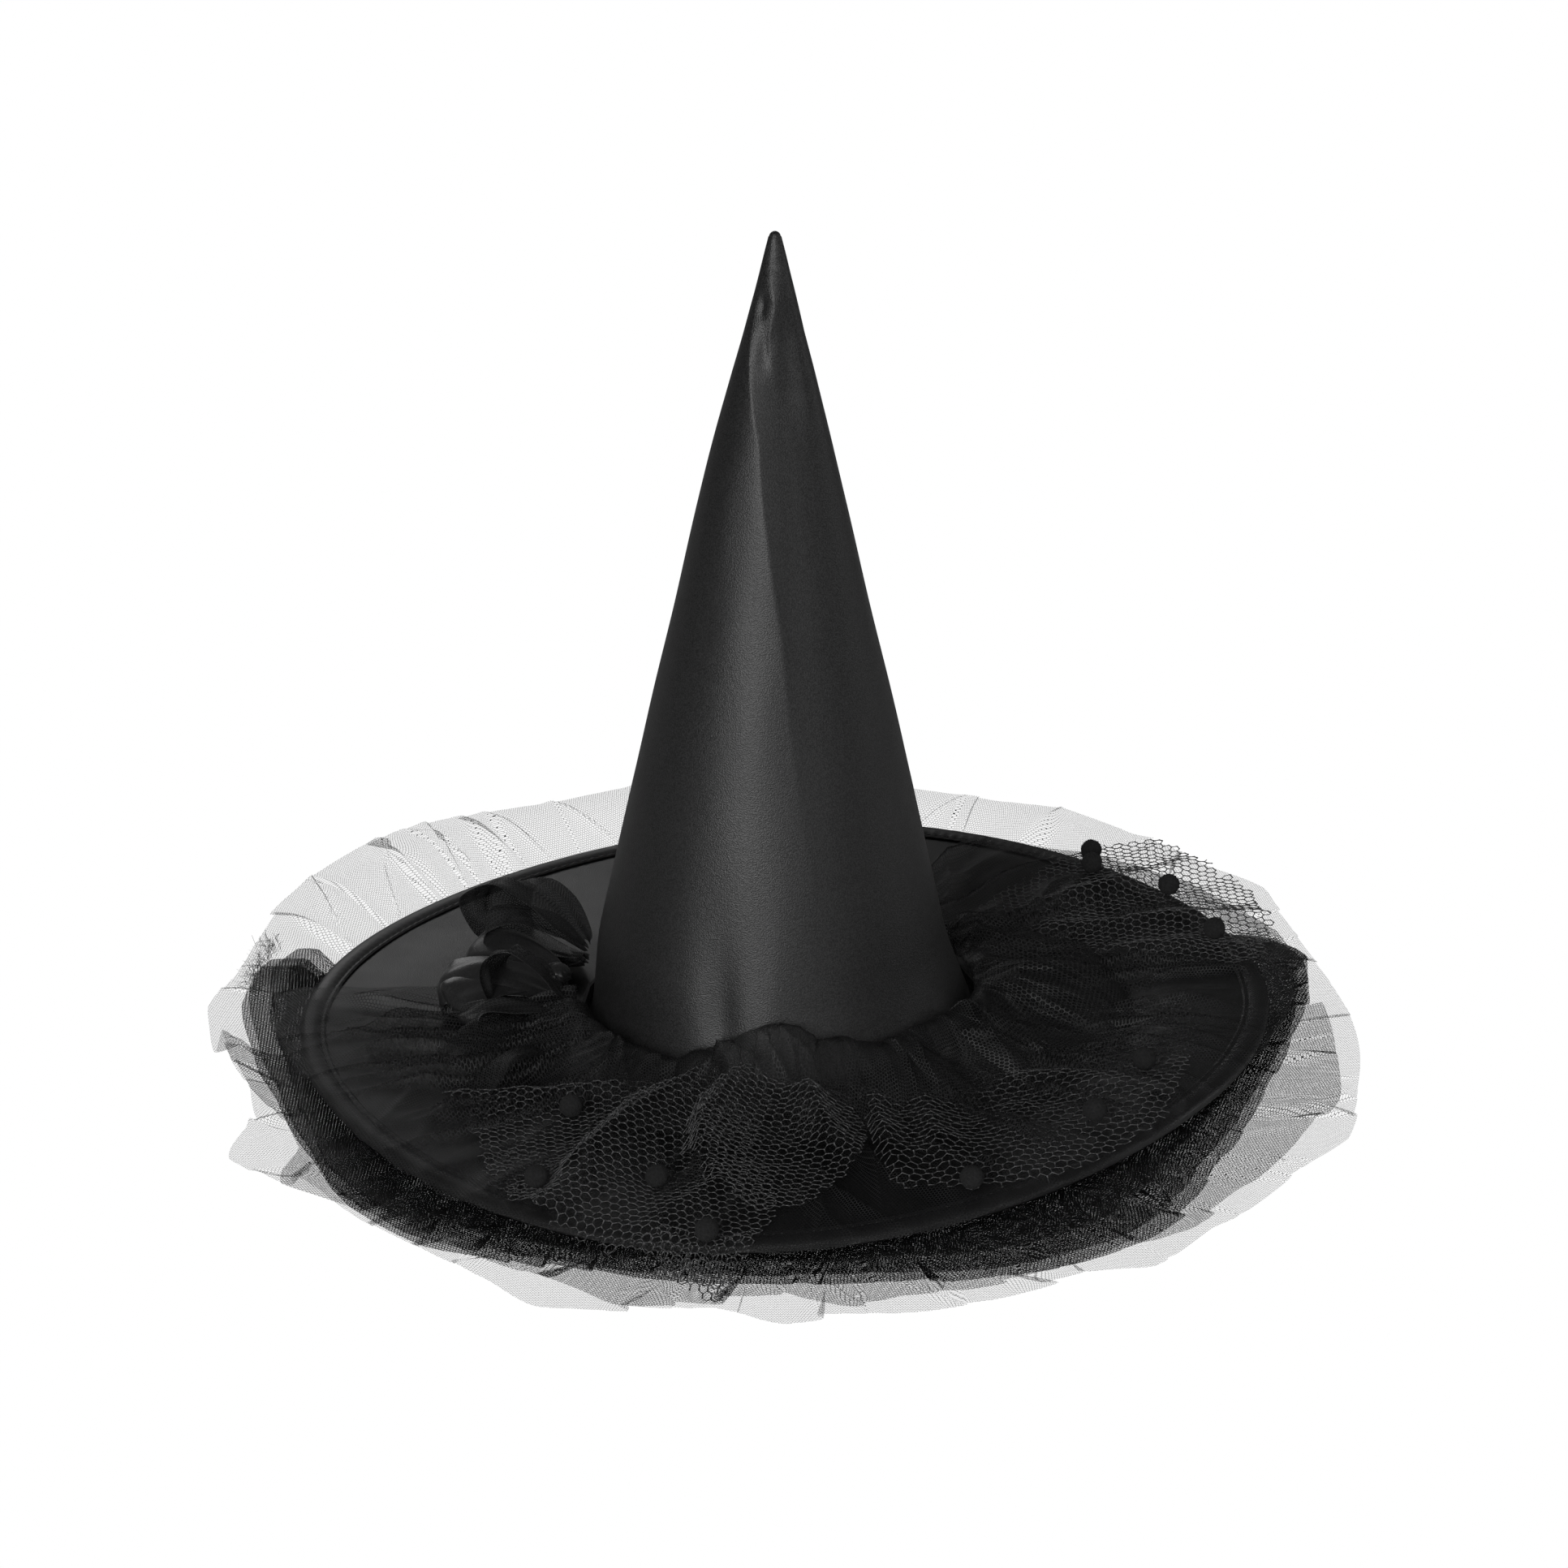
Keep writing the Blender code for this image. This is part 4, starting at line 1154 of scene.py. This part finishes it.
def add_camera():
    """A long lens in front of the hat, looking down on the brim."""
    distance, elevation, pitch = 2.1, radians(26.36), radians(23.5)
    data = bpy.data.cameras.new("camera")
    data.lens = 110.3
    data.sensor_width = 36.0
    camera = bpy.data.objects.new("camera", data)
    bpy.context.scene.collection.objects.link(camera)
    camera.location = (0.0, -distance * cos(elevation), BRIM_PLANE + distance * sin(elevation))
    camera.rotation_euler = (pi / 2 - pitch, 0, 0)
    bpy.context.scene.camera = camera


def add_light(name, place, target, size, power):
    data = bpy.data.lights.new(name, "AREA")
    data.shape = "RECTANGLE"
    data.size, data.size_y = size
    data.energy = power
    light = bpy.data.objects.new(name, data)
    bpy.context.scene.collection.objects.link(light)
    light.location = place
    light.rotation_euler = (Vector(target) - Vector(place)).to_track_quat("-Z", "Y").to_euler()


def white_for_camera(tree, output, behind):
    """The backdrop is plain white to the eye, while the hat is lit by the real shader behind it."""
    path = tree.nodes.new("ShaderNodeLightPath")
    for_surface = output.type == "OUTPUT_MATERIAL"
    white = tree.nodes.new("ShaderNodeEmission" if for_surface else "ShaderNodeBackground")
    white.inputs["Color"].default_value = (1, 1, 1, 1)
    white.inputs["Strength"].default_value = 1.0
    mix = tree.nodes.new("ShaderNodeMixShader")
    tree.links.new(path.outputs["Is Camera Ray"], mix.inputs[0])
    tree.links.new(behind, mix.inputs[1])
    tree.links.new(white.outputs[0], mix.inputs[2])
    tree.links.new(mix.outputs[0], output.inputs["Surface"])


def add_studio():
    n = Nodes("pale_floor")
    n.ramp(n.noise(n.coordinates("Object"), 3, 2.0), (0.60, 0.60, 0.60), (0.66, 0.66, 0.66),
           n.shader.inputs["Base Color"])
    n.shader.inputs["Roughness"].default_value = 0.9
    white_for_camera(n.tree, n.tree.nodes["Material Output"], n.shader.outputs[0])
    side = 8.0
    verts = [(-side, -side, -0.0002), (side, -side, -0.0002), (side, side, -0.0002), (-side, side, -0.0002)]
    floor = add_piece("floor", verts, [(0, 1, 2, 3)], n.material)
    world = bpy.data.worlds.new("studio")
    world.use_nodes = True
    tree = world.node_tree
    background = tree.nodes["Background"]
    background.inputs["Color"].default_value = (1, 1, 1, 1)
    background.inputs["Strength"].default_value = 0.07
    white_for_camera(tree, tree.nodes["World Output"], background.outputs[0])
    bpy.context.scene.world = world
    add_light("key", (-0.98, -2.35, 1.0), (0, 0, 0.16), (0.75, 1.8), 38)
    add_light("fill", (0.9, -2.3, 1.2), (0, 0, 0.16), (2.4, 1.6), 13)
    add_light("side", (2.3, 0.3, 0.95), (0.06, 0, 0.12), (1.0, 1.4), 5)
    add_light("back", (-0.9, 2.7, 1.25), (-0.1, 0.1, 0.02), (1.4, 0.8), 6)


def main():
    bpy.context.scene.view_settings.view_transform = "Standard"
    bpy.context.scene.cycles.transparent_max_bounces = 48
    add_camera()
    add_studio()
    add_crown()
    add_crown_inside()
    add_brim()
    add_binding()
    add_stitches("binding_stitches_top", 0.0023)
    add_stitches("binding_stitches_under", -0.0023)
    add_outer_skirt()
    add_inner_skirts()
    add_frayed_end()
    add_overlay()
    add_frills()
    add_nets()
    for seed, node in enumerate(POMPOM_NODES, 81):
        add_pompom(node, seed)
    add_rosette()
    give_material("felt", "crown_interlining", "brim_interlining")
    give_material("tape", "crown_back_seam_tape", "ruffle_gather_tape")
    give_material("band", "sweatband")
    give_material("steel", "brim_wire", "brim_wire_joiner")


main()
